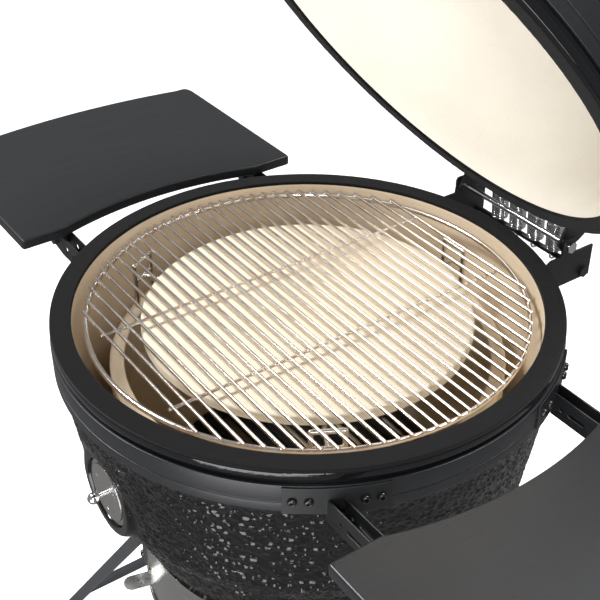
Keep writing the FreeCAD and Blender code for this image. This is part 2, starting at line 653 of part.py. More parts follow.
def stand():
    """Four splayed legs with brackets, bolts, stretchers and feet."""
    half = "(leg_width / 2 / cos(leg_lean))"
    top = "(leg_root_drop - leg_head)"
    low = "(rim_height - foot_height)"
    brackets = []
    bolts = []
    feet = []
    for row, along in (("front", -1), ("rear", 1)):
        for name, side in SIDES.items():
            corners = [(f"{side} * ({leg_reach(drop)} + {edge} * {half})", f"-{drop}")
                       for drop, edge in ((top, -1), (top, 1), (low, 1), (low, -1))]
            bar = padded(f"bar_{row}_{name}", "XZ_Plane", corners,
                         f"{-along} * leg_side - leg_width / 2", "leg_width")
            head = rod("hoop_radius + bracket_wall", "3 * leg_head + 60",
                       z=f"-{top} - 2 * leg_head - 60")
            piece(cut(f"leg_{row}_{name}", bar, head))
            angle = f"({'bracket_angle' if side > 0 else '180 - bracket_angle'}) * {along}"
            brackets.append(sector("hoop_radius", "hoop_radius + bracket_wall",
                                   "-bracket_drop - bracket_height", "bracket_height", angle,
                                   "bracket_half"))
            turn = "(bracket_angle + bracket_half * 0.68)"
            turn = f"{along} * ({turn if side > 0 else f'180 - {turn}'})"
            for level in ("0.25", "0.75"):
                bolts.append(spoke("bolt_head", "bolt_height", turn, "hoop_radius + bracket_wall",
                                   f"-bracket_drop - {level} * bracket_height"))
            feet.append(rod("foot_radius", "foot_height", f"{side} * {leg_reach(low)}",
                            f"{along} * leg_side", "-rim_height"))
    piece(group("leg_brackets", brackets))
    piece(group("leg_bolts", bolts))
    piece(group("leg_feet", feet))
    drop = "(rim_height - stretcher_height)"
    for name, side in SIDES.items():
        piece(block(f"{side} * {leg_reach(drop)} - stretcher_width / 2",
                    "-leg_side + leg_width / 2", f"-{drop}", "stretcher_width",
                    "2 * leg_side - leg_width", "stretcher_width"))
        PIECES[-1].Label = f"leg_stretcher_{name}"


# ---- chip feeder port ------------------------------------------------------------------------

def port_holes(radius, depth, y):
    """The ring of round holes through the port's plate or shutter."""
    holes = []
    count = int(size("port_hole_count"))
    for index in range(count):
        angle = f"{index} * 360 / port_hole_count + 30"
        holes.append(rod(radius, depth, f"port_hole_ring * cos({angle})", y,
                         f"port_hole_ring * sin({angle}) - port_drop", "-Y"))
    return group(f"port_holes_{next(serial)}", holes)


def port():
    """Tube with a pierced plate, the turning shutter over it and the knob that turns it."""
    back = "(recess_depth - port_face)"
    face = f"({back} - port_plate_wall)"
    disc = rod("port_plate", "port_plate_wall", y=back, z="-port_drop", way="-Y")
    pipe = rod("port_tube", "port_tube_length", y=f"{back} + port_tube_length", z="-port_drop", way="-Y")
    inside = rod("port_tube - port_tube_wall", "port_tube_length", y=f"{back} + port_tube_length",
                 z="-port_drop", way="-Y")
    hollow = cut("shape", pipe, inside)
    centre = rod("port_pin + running_gap", "20", y=f"{back} + 10", z="-port_drop", way="-Y")
    piece(cut("port_sleeve", fuse("sleeve_blank", disc, hollow),
              port_holes("port_hole", "20", f"{back} + 10"), centre))
    shut = f"({face} - shutter_gap)"
    plate = rod("shutter_radius", "shutter_wall", y=shut, z="-port_drop", way="-Y")
    hub = rod("port_pin", "20", y=f"{face} + 10", z="-port_drop", way="-Y")
    piece(cut("port_shutter", plate, port_holes("port_hole", "20", f"{face} + 10"), hub))
    front = f"({shut} - shutter_wall)"
    pin = rod("port_pin", f"port_plate_wall + shutter_gap + shutter_wall + 4", y=f"{back} + 4",
              z="-port_drop", way="-Y")
    nut = rod("port_pin * 2", "3", y=f"{back} + 4", z="-port_drop", way="-Y")
    stem = rod("knob_stem", "knob_length", y=front, z="-port_drop", way="-Y")
    ball = new("Part::Sphere")
    tie(ball, Radius="knob_ball")
    at(ball, "0", f"{front} - knob_length", "-port_drop")
    piece(fuse("port_knob", pin, nut, stem, ball))


# ---- shelves and their arms ------------------------------------------------------------------

def shelf_arms():
    """Four folded channels bolted to the band, open upwards, and the pins through their ends."""
    bolts = []
    pins = []
    for row, along in (("front", -1), ("rear", 1)):
        for name, side in SIDES.items():
            low = "(-arm_top_drop - arm_depth)"
            corners = [("arm_root", "-arm_top_drop"), ("pin_reach", "-arm_top_drop"),
                       ("pin_reach + arm_nose", "-pin_drop", "via"),
                       ("pin_reach", "-pin_drop - arm_nose"), ("pin_reach - web_back", low),
                       ("arm_root", low)]
            corners = [(f"{side} * ({corner[0]})",) + corner[1:] for corner in corners]
            start = f"{-along} * arm_side - arm_width / 2"
            slab = padded(f"channel_{row}_{name}", "XZ_Plane", corners, start, "arm_width")
            wide = "(arm_width - 2 * arm_wall)"
            near = f"{along} * arm_side - {wide} / 2"
            shift = 0 if side > 0 else 1
            trough = block(f"{side} * (arm_root - 5) - {shift} * 200", near, f"{low} + arm_wall",
                           "200", wide, "arm_depth + 5")
            end = block(f"{side} * (pin_reach - web_back) - {shift} * 60", near, f"{low} - 5",
                        "60", wide, "arm_depth + 10")
            round_bowl = rod(BAND_OUTER, "90", z="-90")
            pin_hole = rod("pin_radius", "arm_width + 20", f"{side} * pin_reach",
                           f"{along} * arm_side - arm_width / 2 - 10", "-pin_drop", "+Y")
            windows = rod("arm_window", "arm_width + 20", f"{side} * arm_window_reach",
                          f"{along} * arm_side - arm_width / 2 - 10", f"{low} + arm_depth / 2", "+Y")
            beside = f"{along} * arm_side - arm_width / 2 - 10"
            spot = rod("arm_slot_radius", "arm_width + 20", f"{side} * arm_hole_reach", beside,
                       "-arm_slot_drop", "+Y")
            slot_ends = [rod("arm_slot_radius", "arm_width + 20",
                             f"{side} * arm_slot_reach + {way} * (arm_slot_length / 2 - arm_slot_radius)",
                             beside, "-arm_slot_drop", "+Y") for way in (-1, 1)]
            slot = block(f"{side} * arm_slot_reach - arm_slot_length / 2 + arm_slot_radius", beside,
                         "-arm_slot_drop - arm_slot_radius", "arm_slot_length - 2 * arm_slot_radius",
                         "arm_width + 20", "2 * arm_slot_radius")
            channel = cut("shape", slab, trough, end, round_bowl, pin_hole, windows, spot,
                          fuse("shape", slot, *slot_ends))
            middle = "flange_angle" if side > 0 else "(180 - flange_angle)"
            plate = sector(BAND_OUTER, f"{BAND_OUTER} + flange_wall", "-flange_drop - flange_height",
                           "flange_height", f"{along} * {middle}", "flange_half")
            piece(fuse(f"arm_{row}_{name}", channel, plate))
            for step in ("-bolt_far", "-bolt_near", "bolt_near", "bolt_far"):
                bolts.append(spoke("bolt_head", "bolt_height", f"{along} * ({middle} + {step})",
                                   f"{BAND_OUTER} + flange_wall", "-flange_drop - flange_height / 2"))
            caps = [rod("pin_cap", "5", f"{side} * pin_reach",
                        f"{along} * arm_side + {way} * arm_width / 2 - {5 if way < 0 else 0}",
                        "-pin_drop", "+Y") for way in (-1, 1)]
            shaft = rod("pin_radius", "arm_width", f"{side} * pin_reach",
                        f"{along} * arm_side - arm_width / 2", "-pin_drop", "+Y")
            pins.append(fuse("shape", shaft, *caps))
    piece(group("arm_bolts", bolts))
    piece(group("shelf_pins", pins))


def shelves():
    """Two stained boards, each with two channel brackets screwed under it."""
    low = "(-shelf_drop - shelf_thickness)"
    corner = "shelf_corner * (1 - sqrt(0.5))"
    for name, side in SIDES.items():
        rim = [("shelf_edge", "-shelf_half"), ("shelf_end - shelf_corner", "-shelf_half"),
               (f"shelf_end - {corner}", f"-shelf_half + {corner}", "via"),
               ("shelf_end", "-shelf_half + shelf_corner"), ("shelf_bow", "0", "via"),
               ("shelf_end", "shelf_half - shelf_corner"),
               (f"shelf_end - {corner}", f"shelf_half - {corner}", "via"),
               ("shelf_end - shelf_corner", "shelf_half"), ("shelf_edge", "shelf_half"),
               ("shelf_edge", "shelf_half - shelf_straight"), ("shelf_hollow", "0", "via"),
               ("shelf_edge", "-shelf_half + shelf_straight")]
        rim = [(f"{side} * ({spot[0]})", f"{spot[1]} + shelf_shift") + spot[2:] for spot in rim]
        piece(padded(f"shelf_{name}", "XY_Plane", rim, low, "shelf_thickness"))
        brackets = []
        screws = []
        for along in (-1, 1):
            wide = "(arm_width - 2 * arm_wall - 2 * bracket_slack)"
            corners = [("pin_reach - bracket_nose", low), ("pin_reach + bracket_length", low),
                       ("pin_reach + bracket_length", f"{low} - 8"),
                       ("pin_reach + 8", "-pin_drop - bracket_nose"),
                       ("pin_reach - 6", "-pin_drop - bracket_nose"),
                       ("pin_reach - bracket_nose", "-pin_drop - 6")]
            corners = [(f"{side} * ({spot[0]})", spot[1]) for spot in corners]
            slab = padded(f"cleat_{next(serial)}", "XZ_Plane", corners,
                          f"{-along} * arm_side - {wide} / 2", wide)
            inside = block(f"{side} * pin_reach - 100", f"{along} * arm_side - {wide} / 2 + bracket_steel",
                           f"{low} - bracket_steel - 60", "200", f"{wide} - 2 * bracket_steel", "60")
            hole = rod("pin_radius + running_gap", "arm_width", f"{side} * pin_reach",
                       f"{along} * arm_side - arm_width / 2", "-pin_drop", "+Y")
            brackets.append(cut("shape", slab, inside, hole))
            for reach in ("0.3", "0.8"):
                screws.append(rod("screw_head", "screw_height",
                                  f"{side} * (pin_reach + {reach} * bracket_length)",
                                  f"{along} * arm_side", f"{low} - bracket_steel - screw_height"))
        piece(group(f"shelf_brackets_{name}", brackets))
        piece(group(f"shelf_screws_{name}", screws))


# ---- hinge -----------------------------------------------------------------------------------

LOW_BAR_Z = "-lower_bar_drop"


def hinge_base():
    """Side plates on the base band, the rod through them and the lower spring bar."""
    bolts = []
    for name, side in SIDES.items():
        corners = [("rim_radius - 14", f"-{BAND_TOP}"), ("rim_radius", "-cheek_top_drop"),
                   ("pivot_reach - 12", "-cheek_top_drop"), ("pivot_reach - 9", "pivot_rise + 11"),
                   ("pivot_reach + 9", "pivot_rise + 11"), ("pivot_reach + 12", "-cheek_top_drop"),
                   ("lower_bar_reach + 14", "-cheek_top_drop"),
                   ("lower_bar_reach + 14", "-lower_bar_drop - 10"),
                   ("rim_radius - 14", "-lower_bar_drop - 10")]
        slab = padded(f"cheek_{name}", "YZ_Plane", corners,
                      f"{side} * cheek_side - cheek_wall / 2", "cheek_wall")
        bowl = rod(BAND_OUTER, "120", z="-100")
        holes = [rod("pivot_radius", "300", "-150", "pivot_reach", "pivot_rise", "+X"),
                 rod("bar_radius", "300", "-150", "lower_bar_reach", LOW_BAR_Z, "+X")]
        middle = "cheek_flange_angle" if side > 0 else "(180 - cheek_flange_angle)"
        plate = sector(BAND_OUTER, f"{BAND_OUTER} + cheek_wall", f"-{BAND_TOP} - band_height",
                       "band_height", middle, "cheek_flange_half")
        piece(fuse(f"hinge_plate_{name}", cut("shape", slab, bowl, *holes), plate))
        for step in ("hinge_bolt_near", "hinge_bolt_far"):
            bolts.append(spoke("bolt_head", "bolt_height", f"{middle} + {side} * {step}",
                               f"{BAND_OUTER} + cheek_wall", f"-{BAND_TOP} - band_height / 2"))
    piece(group("hinge_bolts", bolts))
    for label, radius, y, z in (("hinge_rod", "pivot_radius", "pivot_reach", "pivot_rise"),
                                ("spring_bar_lower", "bar_radius", "lower_bar_reach", LOW_BAR_Z)):
        edge = "(cheek_side + cheek_wall / 2)"
        shaft = rod(radius, f"2 * {edge}", f"-{edge}", y, z, "+X")
        heads = []
        for side, way in ((-1, "-X"), (1, "+X")):
            head = new("Part::Prism")
            head.Polygon = 6
            tie(head, Circumradius="rod_head", Height="rod_head_height")
            head.Placement = FreeCAD.Placement(FreeCAD.Vector(), TURN[way])
            heads.append(at(head, f"{side} * {edge}", y, z))
        piece(fuse(label, shaft, *heads))


def hinge_lid():
    """Arms on the lid band that turn on the rod, and the upper spring bar between them."""
    bolts = []
    low = f"({LID_RIM} + lip_height + groove_height)"
    for name, side in SIDES.items():
        corners = [("rim_radius - 12", low), ("rim_radius + 4", low),
                   ("pivot_reach - 16", "pivot_rise + 4"), ("pivot_reach - 8", "pivot_rise - 10"),
                   ("pivot_reach + 10", "pivot_rise - 9"),
                   ("upper_bar_reach + 8", "upper_bar_rise - 6"),
                   ("upper_bar_reach + 8", "upper_bar_rise + 6"),
                   ("pivot_reach - 8", f"{low} + band_height - 6"),
                   ("rim_radius - 12", f"{low} + band_height")]
        inner = "(cheek_side - cheek_gap - cheek_wall)"
        slab = padded(f"lid_cheek_{name}", "YZ_Plane", corners,
                      f"{side} * {inner} - cheek_wall / 2", "cheek_wall")
        bowl = rod(BAND_OUTER, "120", z="-10")
        holes = [rod("pivot_radius + running_gap", "300", "-150", "pivot_reach", "pivot_rise", "+X"),
                 rod("bar_radius", "300", "-150", "upper_bar_reach", "upper_bar_rise", "+X")]
        middle = "(cheek_flange_angle + lid_flange_shift)"
        middle = middle if side > 0 else f"(180 - {middle})"
        plate = sector(BAND_OUTER, f"{BAND_OUTER} + cheek_wall", low, "band_height", middle,
                       "cheek_flange_half")
        piece(fuse(f"hinge_arm_{name}", cut("shape", slab, bowl, *holes), plate), lid=True)
        for step in ("hinge_bolt_near", "hinge_bolt_far"):
            bolts.append(spoke("bolt_head", "bolt_height", f"{middle} + {side} * {step}",
                               f"{BAND_OUTER} + cheek_wall", f"{low} + band_height / 2"))
    piece(group("lid_hinge_bolts", bolts), lid=True)
    edge = "(cheek_side - cheek_gap - cheek_wall / 2)"
    piece(rod("bar_radius", f"2 * {edge}", f"-{edge}", "upper_bar_reach", "upper_bar_rise", "+X"),
          lid=True)
    PIECES[-1].Label = "spring_bar_upper"


def assist_springs():
    """Four coils with an eye round each bar, drawn at their length with the lid open."""
    turn = FreeCAD.Rotation(FreeCAD.Vector(1, 0, 0), -size("open_angle"))
    pivot = FreeCAD.Vector(0, size("pivot_reach"), size("pivot_rise"))
    upper = FreeCAD.Vector(0, size("upper_bar_reach"), size("upper_bar_rise"))
    upper = pivot + turn.multVec(upper - pivot)
    lower = FreeCAD.Vector(0, size("lower_bar_reach"), -size("lower_bar_drop"))
    wire = size("coil_wire")
    eye = size("eye_radius")
    way = (upper - lower).normalize()
    length = (upper - lower).Length
    low = eye + wire * 2
    tall = length - 2 * low
    turns = int(size("coil_turns"))
    spine = Part.makeHelix(tall / turns, tall, size("coil_radius"))
    spine.translate(FreeCAD.Vector(0, 0, low))
    start = FreeCAD.Vector(size("coil_radius"), 0, low)
    section = Part.Wire(Part.makeCircle(wire, start, FreeCAD.Vector(0, 1, 0)))
    coil = Part.Wire(spine.Edges).makePipeShell([section], True, True)
    pieces = [coil]
    for level, eye_level in ((low, 0), (low + tall, length)):
        across = Part.makeCylinder(wire, size("coil_radius"), FreeCAD.Vector(0, 0, level),
                                   FreeCAD.Vector(1, 0, 0))
        loop = Part.makeTorus(eye, wire, FreeCAD.Vector(0, 0, eye_level), FreeCAD.Vector(1, 0, 0))
        reach = low - eye
        base = level - reach if level == low else level
        stub = Part.makeCylinder(wire, reach, FreeCAD.Vector(0, 0, base))
        pieces += [across, loop, stub]
    spring = pieces[0].multiFuse(pieces[1:])
    lean = FreeCAD.Rotation(FreeCAD.Vector(0, 0, 1), way)
    row = []
    count = int(size("spring_count"))
    for index in range(count):
        copy = spring.copy()
        across = (index - (count - 1) / 2) * size("spring_pitch")
        copy.Placement = FreeCAD.Placement(FreeCAD.Vector(across, lower.y, lower.z), lean)
        row.append(copy)
    thing = new("Part::Feature", "assist_springs")
    thing.Shape = Part.makeCompound(row)
    piece(thing)


# ---- lid -------------------------------------------------------------------------------------

REACH = "(seat_radius - knuckle_radius)"
SPREAD = "(crown_radius - knuckle_radius)"
CROWN_DROP = f"sqrt({SPREAD} ^ 2 - {REACH} ^ 2)"
CROWN_Z = f"({LID_SHOULDER} - {CROWN_DROP})"


def dome_side(wall, neck):
    """Side of the dished lid, a wall in from its outside, from the shoulder to the vent neck."""
    half = f"(atan({CROWN_DROP} / {REACH}) / 2)"
    knuckle = f"(knuckle_radius - {wall})"
    crown = f"(crown_radius - {wall})"
    meet = f"({REACH} * {crown} / {SPREAD})"
    middle = f"(({meet} + {neck}) / 2)"
    return [(f"seat_radius - {wall}", LID_SHOULDER),
            (f"{REACH} + {knuckle} * cos({half})", f"{LID_SHOULDER} + {knuckle} * sin({half})", "via"),
            (meet, f"{CROWN_Z} + {CROWN_DROP} * {crown} / {SPREAD}"),
            (middle, f"{CROWN_Z} + sqrt({crown} ^ 2 - {middle} ^ 2)", "via"),
            (neck, f"{CROWN_Z} + sqrt({crown} ^ 2 - {neck} ^ 2)")]


def gauge_spot():
    """Where the thermometer's axis leaves the lid, and the turn that points a piece along it."""
    lean = size("gauge_lean")
    reach = size("seat_radius") - size("knuckle_radius")
    turn = FreeCAD.Rotation(FreeCAD.Vector(1, 0, 0), 90 - lean)
    outward = turn.multVec(FreeCAD.Vector(0, 0, 1))
    centre = FreeCAD.Vector(0, -reach, size("felt_gap") + size("shoulder"))
    return FreeCAD.Placement(centre + outward * size("knuckle_radius"), turn)


def lid_dome():
    """The dished ceramic lid with its vent neck and the hole for the probe."""
    inside = dome_side("lid_wall", "neck_bore")
    blank = turned("dome_blank", [
        ("rim_inner", LID_RIM), ("rim_radius", LID_RIM), ("rim_radius", f"{LID_RIM} + lip_height"),
        ("seat_radius", f"{LID_RIM} + lip_height")] + dome_side("0", "neck_radius") + [
        ("neck_radius", "neck_top"), ("neck_bore", "neck_top")] + inside[::-1])
    hole = new("Part::Cylinder", "probe_hole")
    tie(hole, Radius="stem_radius + 0.5", Height="3 * lid_wall")
    spot = gauge_spot()
    hole.Placement = spot * FreeCAD.Placement(FreeCAD.Vector(0, 0, -2 * size("lid_wall")),
                                              FreeCAD.Rotation())
    piece(cut("lid_dome", blank, hole), lid=True)


def lid_trim():
    """The lid's gasket and band."""
    piece(ring("lid_gasket", "rim_radius", "rim_inner", "felt_gap", "felt_thickness"), lid=True)
    piece(band("lid_band", f"{LID_RIM} + lip_height + groove_height"), lid=True)


def handle():
    """A round grip on two posts that stand on the lid band."""
    grip = rod("handle_radius", "2 * handle_half", "-handle_half", "-handle_reach", "handle_rise", "+X")
    rounded = new("Part::Chamfer", "lid_handle")
    rounded.Base = grip
    doc.recompute()
    rounded.Edges = [(index, 3.0, 3.0) for index, edge in enumerate(grip.Shape.Edges, start=1)
                     if isinstance(edge.Curve, Part.Circle)]
    piece(rounded, lid=True)
    posts = []
    for side in SIDES.values():
        post = rod("post_radius", "handle_reach - 250", f"{side} * post_side", "-250", "handle_rise",
                   "-Y")
        foot = rod("post_foot", "handle_reach - 250", f"{side} * post_side", "-250", "handle_rise", "-Y")
        near = rod(f"{BAND_OUTER} + post_foot_height", "80", z="0")
        whole = fuse("shape", post, new_common(foot, near))
        grip_room = rod("handle_radius", "2 * handle_half", "-handle_half", "-handle_reach",
                        "handle_rise", "+X")
        posts.append(cut("shape", whole, rod(BAND_OUTER, "80", z="0"), grip_room))
    piece(group("handle_posts", posts), lid=True)


def new_common(first, second):
    """What two shapes share."""
    result = new("Part::Common")
    result.Base = first
    result.Tool = second
    return result


def gauge():
    """Thermometer: case with probe, dial, needle and glass, on an axis out of the lid."""
    room = "(gauge_case - gauge_wall)"
    back = "gauge_stand"
    front = "gauge_stand + gauge_depth"
    case = turned("gauge_case_blank", [
        ("0", back), ("gauge_case - 4", back), ("gauge_case", f"{back} + 4"), ("gauge_case", front),
        (room, front), (room, f"{back} + gauge_floor"), ("0", f"{back} + gauge_floor")])
    probe = rod("stem_radius", f"stem_length + {back} + 1", z="-stem_length")
    stem_parts = [fuse("gauge_case", case, probe)]
    dial = rod(room, "dial_thickness", z=f"{back} + gauge_floor")
    dial.Label = "gauge_dial"
    level = f"({back} + gauge_floor + dial_thickness + needle_gap)"
    blade = block("-needle_width / 2", "-needle_hub - 3", level, "needle_width",
                  "needle_length + needle_hub + 3", "needle_wall")
    hub = rod("needle_hub", "needle_wall", z=level)
    needle = fuse("gauge_needle", blade, hub)
    needle.Placement = FreeCAD.Placement(FreeCAD.Vector(), FreeCAD.Rotation(
        FreeCAD.Vector(0, 0, 1), size("needle_rest")))
    glass = rod(room, "glass_thickness", z=f"{front} - glass_recess - glass_thickness")
    glass.Label = "gauge_glass"
    for thing in stem_parts + [dial, needle, glass]:
        name = thing.Label
        result = group(f"{name}_piece", [thing])
        result.Placement = gauge_spot()
        PIECES.append(result)
        LID.append(result)
        thing.Label = f"{name}_shape"
        result.Label = name


def vent():
    """Collar on the neck, the turning wheel over it and the knob through both."""
    skirt = ring("shape", "vent_radius", "neck_radius", "neck_top - vent_skirt", "vent_skirt")
    cover = rod("vent_radius", "vent_plate", z="neck_top")
    wheel_low = "(neck_top + vent_plate + wheel_gap)"
    collar_holes = []
    wheel_holes = []
    for index in range(int(size("vent_hole_count"))):
        for store, extra in ((collar_holes, "0"), (wheel_holes, "36")):
            angle = f"{index} * 360 / vent_hole_count + {extra}"
            store.append(rod("vent_hole", "30", f"vent_hole_ring * cos({angle})",
                             f"vent_hole_ring * sin({angle})", "neck_top - 10"))
    pin_room = rod("port_pin + running_gap", "30", z="neck_top - 10")
    piece(cut("vent_collar", fuse("shape", skirt, cover), group("collar_holes", collar_holes),
              pin_room), lid=True)
    disc = rod("wheel_radius", "wheel_wall", z=wheel_low)
    piece(cut("vent_wheel", disc, group("wheel_holes", wheel_holes),
              rod("port_pin", "30", z="neck_top - 10")), lid=True)
    pin = rod("port_pin", f"vent_plate + wheel_gap + wheel_wall + 6", z="neck_top - 5")
    nut = rod("vent_nut", "3", z="neck_top - 4")
    grip = turned("vent_grip", [
        ("0", f"{wheel_low} + wheel_wall"), ("vent_knob - 4", f"{wheel_low} + wheel_wall"),
        ("vent_knob", f"{wheel_low} + wheel_wall + vent_knob_height * 0.6"),
        ("vent_knob - 3", f"{wheel_low} + wheel_wall + vent_knob_height"),
        ("0", f"{wheel_low} + wheel_wall + vent_knob_height")])
    piece(fuse("vent_knob_pin", pin, nut, grip), lid=True)


def place(things):
    """Stand base pieces at their height; swing lid pieces open about the pivot first."""
    stand_at = FreeCAD.Placement(FreeCAD.Vector(0, size("axis_shift"), size("rim_height")),
                                 FreeCAD.Rotation())
    pivot = FreeCAD.Vector(0, size("pivot_reach"), size("pivot_rise"))
    swing = FreeCAD.Placement(FreeCAD.Vector(), FreeCAD.Rotation(FreeCAD.Vector(1, 0, 0),
                                                                 -size("open_angle")), pivot)
    for thing in things:
        name = thing.Label
        holder = group(f"{name}_placed", [thing])
        holder.Placement = stand_at * swing if thing in LID else stand_at
        thing.Label = f"{name}_shape"
        holder.Label = name
        yield holder


def check_and_write():
    """Refuse a failed or empty shape, then write one STEP file for each sub-part."""
    placed = list(place(PIECES))
    doc.recompute()
    for thing in doc.Objects:
        if "Invalid" in thing.State or "Error" in thing.State:
            raise RuntimeError(f"{thing.Label} failed: {thing.State}")
    for holder in placed:
        shape = holder.Shape
        if shape.isNull() or not shape.isValid() or not shape.Solids:
            raise RuntimeError(f"{holder.Label} has no valid solid")
        shape.exportStep(f"parts/{holder.Label}.step")
        print(holder.Label, len(shape.Solids), round(shape.Volume))


base_bowl()
base_trim()
fire_parts()
deflector()
cooking_grate()
base_hoop()
draft_parts()
ash_pan()
stand()
port()
shelf_arms()
shelves()
hinge_base()
hinge_lid()
assist_springs()
lid_dome()
lid_trim()
handle()
gauge()
vent()
check_and_write()
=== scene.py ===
"""Kamado ceramic grill with its lid open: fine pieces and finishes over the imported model.

Pieces are drawn in millimetres about the bowl's upright axis, with height 0 at the top of the base
gasket, front towards -Y and hinge towards +Y. Lid pieces are drawn with the lid shut.
"""
import itertools
import json
import math

import bmesh
import bpy
import numpy as np
from bpy.props import FloatProperty, FloatVectorProperty, IntProperty, PointerProperty
from mathutils import Matrix, Vector
from mathutils.geometry import tessellate_polygon


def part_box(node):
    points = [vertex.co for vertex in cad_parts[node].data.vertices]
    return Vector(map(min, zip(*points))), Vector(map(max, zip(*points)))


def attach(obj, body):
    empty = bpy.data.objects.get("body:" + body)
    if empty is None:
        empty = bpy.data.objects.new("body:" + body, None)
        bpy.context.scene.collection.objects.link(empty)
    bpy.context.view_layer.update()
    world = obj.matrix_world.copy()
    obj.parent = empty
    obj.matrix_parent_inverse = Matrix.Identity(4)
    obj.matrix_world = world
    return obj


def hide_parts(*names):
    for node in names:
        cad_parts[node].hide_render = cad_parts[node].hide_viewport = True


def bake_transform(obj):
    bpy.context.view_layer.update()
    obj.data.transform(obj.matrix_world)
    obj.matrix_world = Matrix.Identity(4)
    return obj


bl_info = {
    "name": "Kamado grill",
    "version": (1, 0, 0),
    "blender": (4, 5, 0),
    "location": "3D View > Sidebar > Grill",
    "description": "Builds a kamado ceramic grill, piece by piece, over its packed CAD model",
    "category": "Add Mesh",
}

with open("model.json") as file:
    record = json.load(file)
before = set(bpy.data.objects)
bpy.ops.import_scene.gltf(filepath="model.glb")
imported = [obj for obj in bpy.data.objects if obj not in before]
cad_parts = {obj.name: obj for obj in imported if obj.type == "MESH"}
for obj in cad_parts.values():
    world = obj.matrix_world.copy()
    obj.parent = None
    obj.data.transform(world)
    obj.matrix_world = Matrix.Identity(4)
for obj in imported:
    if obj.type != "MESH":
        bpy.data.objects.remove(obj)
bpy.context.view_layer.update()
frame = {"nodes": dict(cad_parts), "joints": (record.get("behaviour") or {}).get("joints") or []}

# ---- places read from the frame --------------------------------------------------------------

MM = 0.001
RIM_LOW, RIM_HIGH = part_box("base_gasket")
AXIS = Vector((0, (RIM_LOW.y + RIM_HIGH.y) / 2, RIM_HIGH.z))
HINGE = next(joint for joint in frame["joints"] if joint["name"] == "lid_hinge")
PIVOT = Vector(HINGE["pos_m"])
OPENING = Matrix.Rotation(-math.radians(HINGE["range_deg"][1]), 4, "X")
BASE = Matrix.Translation(AXIS)
LID = Matrix.Translation(PIVOT) @ OPENING @ Matrix.Translation(-PIVOT) @ BASE
FRONT = Matrix.Rotation(math.pi / 2, 4, "X")       # a lathe's axis turned to point at the front
SIDEWAYS = Matrix.Rotation(math.pi / 2, 4, "Y")    # a lathe's axis turned to point along +X
RIM = RIM_HIGH.x / MM                              # outer radius of rim and gaskets
RIM_INNER = 275.0
FELT = (RIM_HIGH.z - RIM_LOW.z) / MM
SEAT = RIM - 3                                     # ceramic radius under the bands
SHOULDER = 58.0
LID_LOW = 0.4                                      # free gap between the two gaskets
PORT_DROP = (AXIS.z - (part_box("port_shutter")[0].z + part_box("port_shutter")[1].z) / 2) / MM
PORT_FACE = 282.0                                  # face of the collar round the port
COLLAR, COLLAR_BLEND, COLLAR_LOW = 52, 60, -237    # its flat radius, where it ends, its lowest level
SMOOTH_PORT, PEBBLED_PORT = 58, 72                 # radii between which the pebbles begin
PORT_BORE, PORT_RECESS, RECESS_DEPTH = 39, 43.5, 6
PEBBLE_START = 7                                   # the pebbles rise over this height at a shoulder


# ---- what a user would change ----------------------------------------------------------------

def linear(code):
    """An sRGB hex colour as linear red, green and blue."""
    parts = [int(code[spot:spot + 2], 16) / 255 for spot in (1, 3, 5)]
    return tuple(part / 12.92 if part <= 0.04045 else ((part + 0.055) / 1.055) ** 2.4
                 for part in parts)


def colour(name, description, code):
    """A colour property from a hex code."""
    return FloatVectorProperty(name=name, description=description, default=linear(code),
                               subtype="COLOR", min=0, max=1)


class GrillSizes(bpy.types.PropertyGroup):
    """Fine sizes that the CAD model leaves out."""
    lump: FloatProperty(name="Glaze lump", description="Spacing of the lumps in the glaze",
                        default=8.5 * MM, unit="LENGTH")
    lump_depth: FloatProperty(name="Lump depth", description="Depth of the creases between lumps",
                              default=2.0 * MM, unit="LENGTH")
    felt_fuzz: FloatProperty(name="Felt unevenness", description="How uneven the felt's surface is",
                             default=0.35 * MM, unit="LENGTH")
    edge: FloatProperty(name="Steel edge", description="Rounding of a cut steel edge",
                        default=0.5 * MM, unit="LENGTH")
    board_edge: FloatProperty(name="Board edge", description="Rounding of a shelf's edge",
                              default=3 * MM, unit="LENGTH")
    coil_turns: IntProperty(name="Spring turns", description="Turns of each assist spring",
                            default=11)
    spring_wire: FloatProperty(name="Spring wire", description="Thickness of the spring wire",
                               default=3 * MM, unit="LENGTH")


class GrillColours(bpy.types.PropertyGroup):
    """Colours of the finishes."""
    glaze: colour("Glaze", "Pebbled glaze on bowl and lid", "#070708")
    lip: colour("Lip glaze", "Smooth glaze on the lips", "#0c0d0f")
    clay: colour("Fire clay", "Bare clay of bowl, ring and fire box", "#dccab0")
    lining: colour("Lining", "Inside of the lid", "#f7f2e8")
    stone: colour("Deflector", "Deflector stone", "#e8ddc8")
    felt: colour("Felt", "Gaskets", "#0c0c0d")
    band: colour("Bands", "Painted steel bands", "#1a1b1e")
    powder: colour("Powder coat", "Arms and hinge plates", "#151618")
    leg: colour("Legs", "Painted legs", "#303236")
    board: colour("Shelves", "Stained shelf boards", "#1d1e20")


# ---- outlines --------------------------------------------------------------------------------

def rounded(corners, closed=True, steps=4):
    """The outline with corners rounded; a corner's third value is how far its rounding reaches."""
    spots = []
    count = len(corners)
    for index, corner in enumerate(corners):
        spot = np.array(corner[:2], float)
        reach = corner[2] if len(corner) > 2 else 0
        if not reach or (not closed and index in (0, count - 1)):
            spots.append(spot)
            continue
        ends = []
        for other in (corners[index - 1], corners[(index + 1) % count]):
            way = np.array(other[:2], float) - spot
            ends.append(spot + way * min(reach / np.linalg.norm(way), 0.5))
        for part in np.linspace(0, 1, steps + 1):
            spots.append((1 - part) ** 2 * ends[0] + 2 * part * (1 - part) * spot + part ** 2 * ends[1])
    return spots


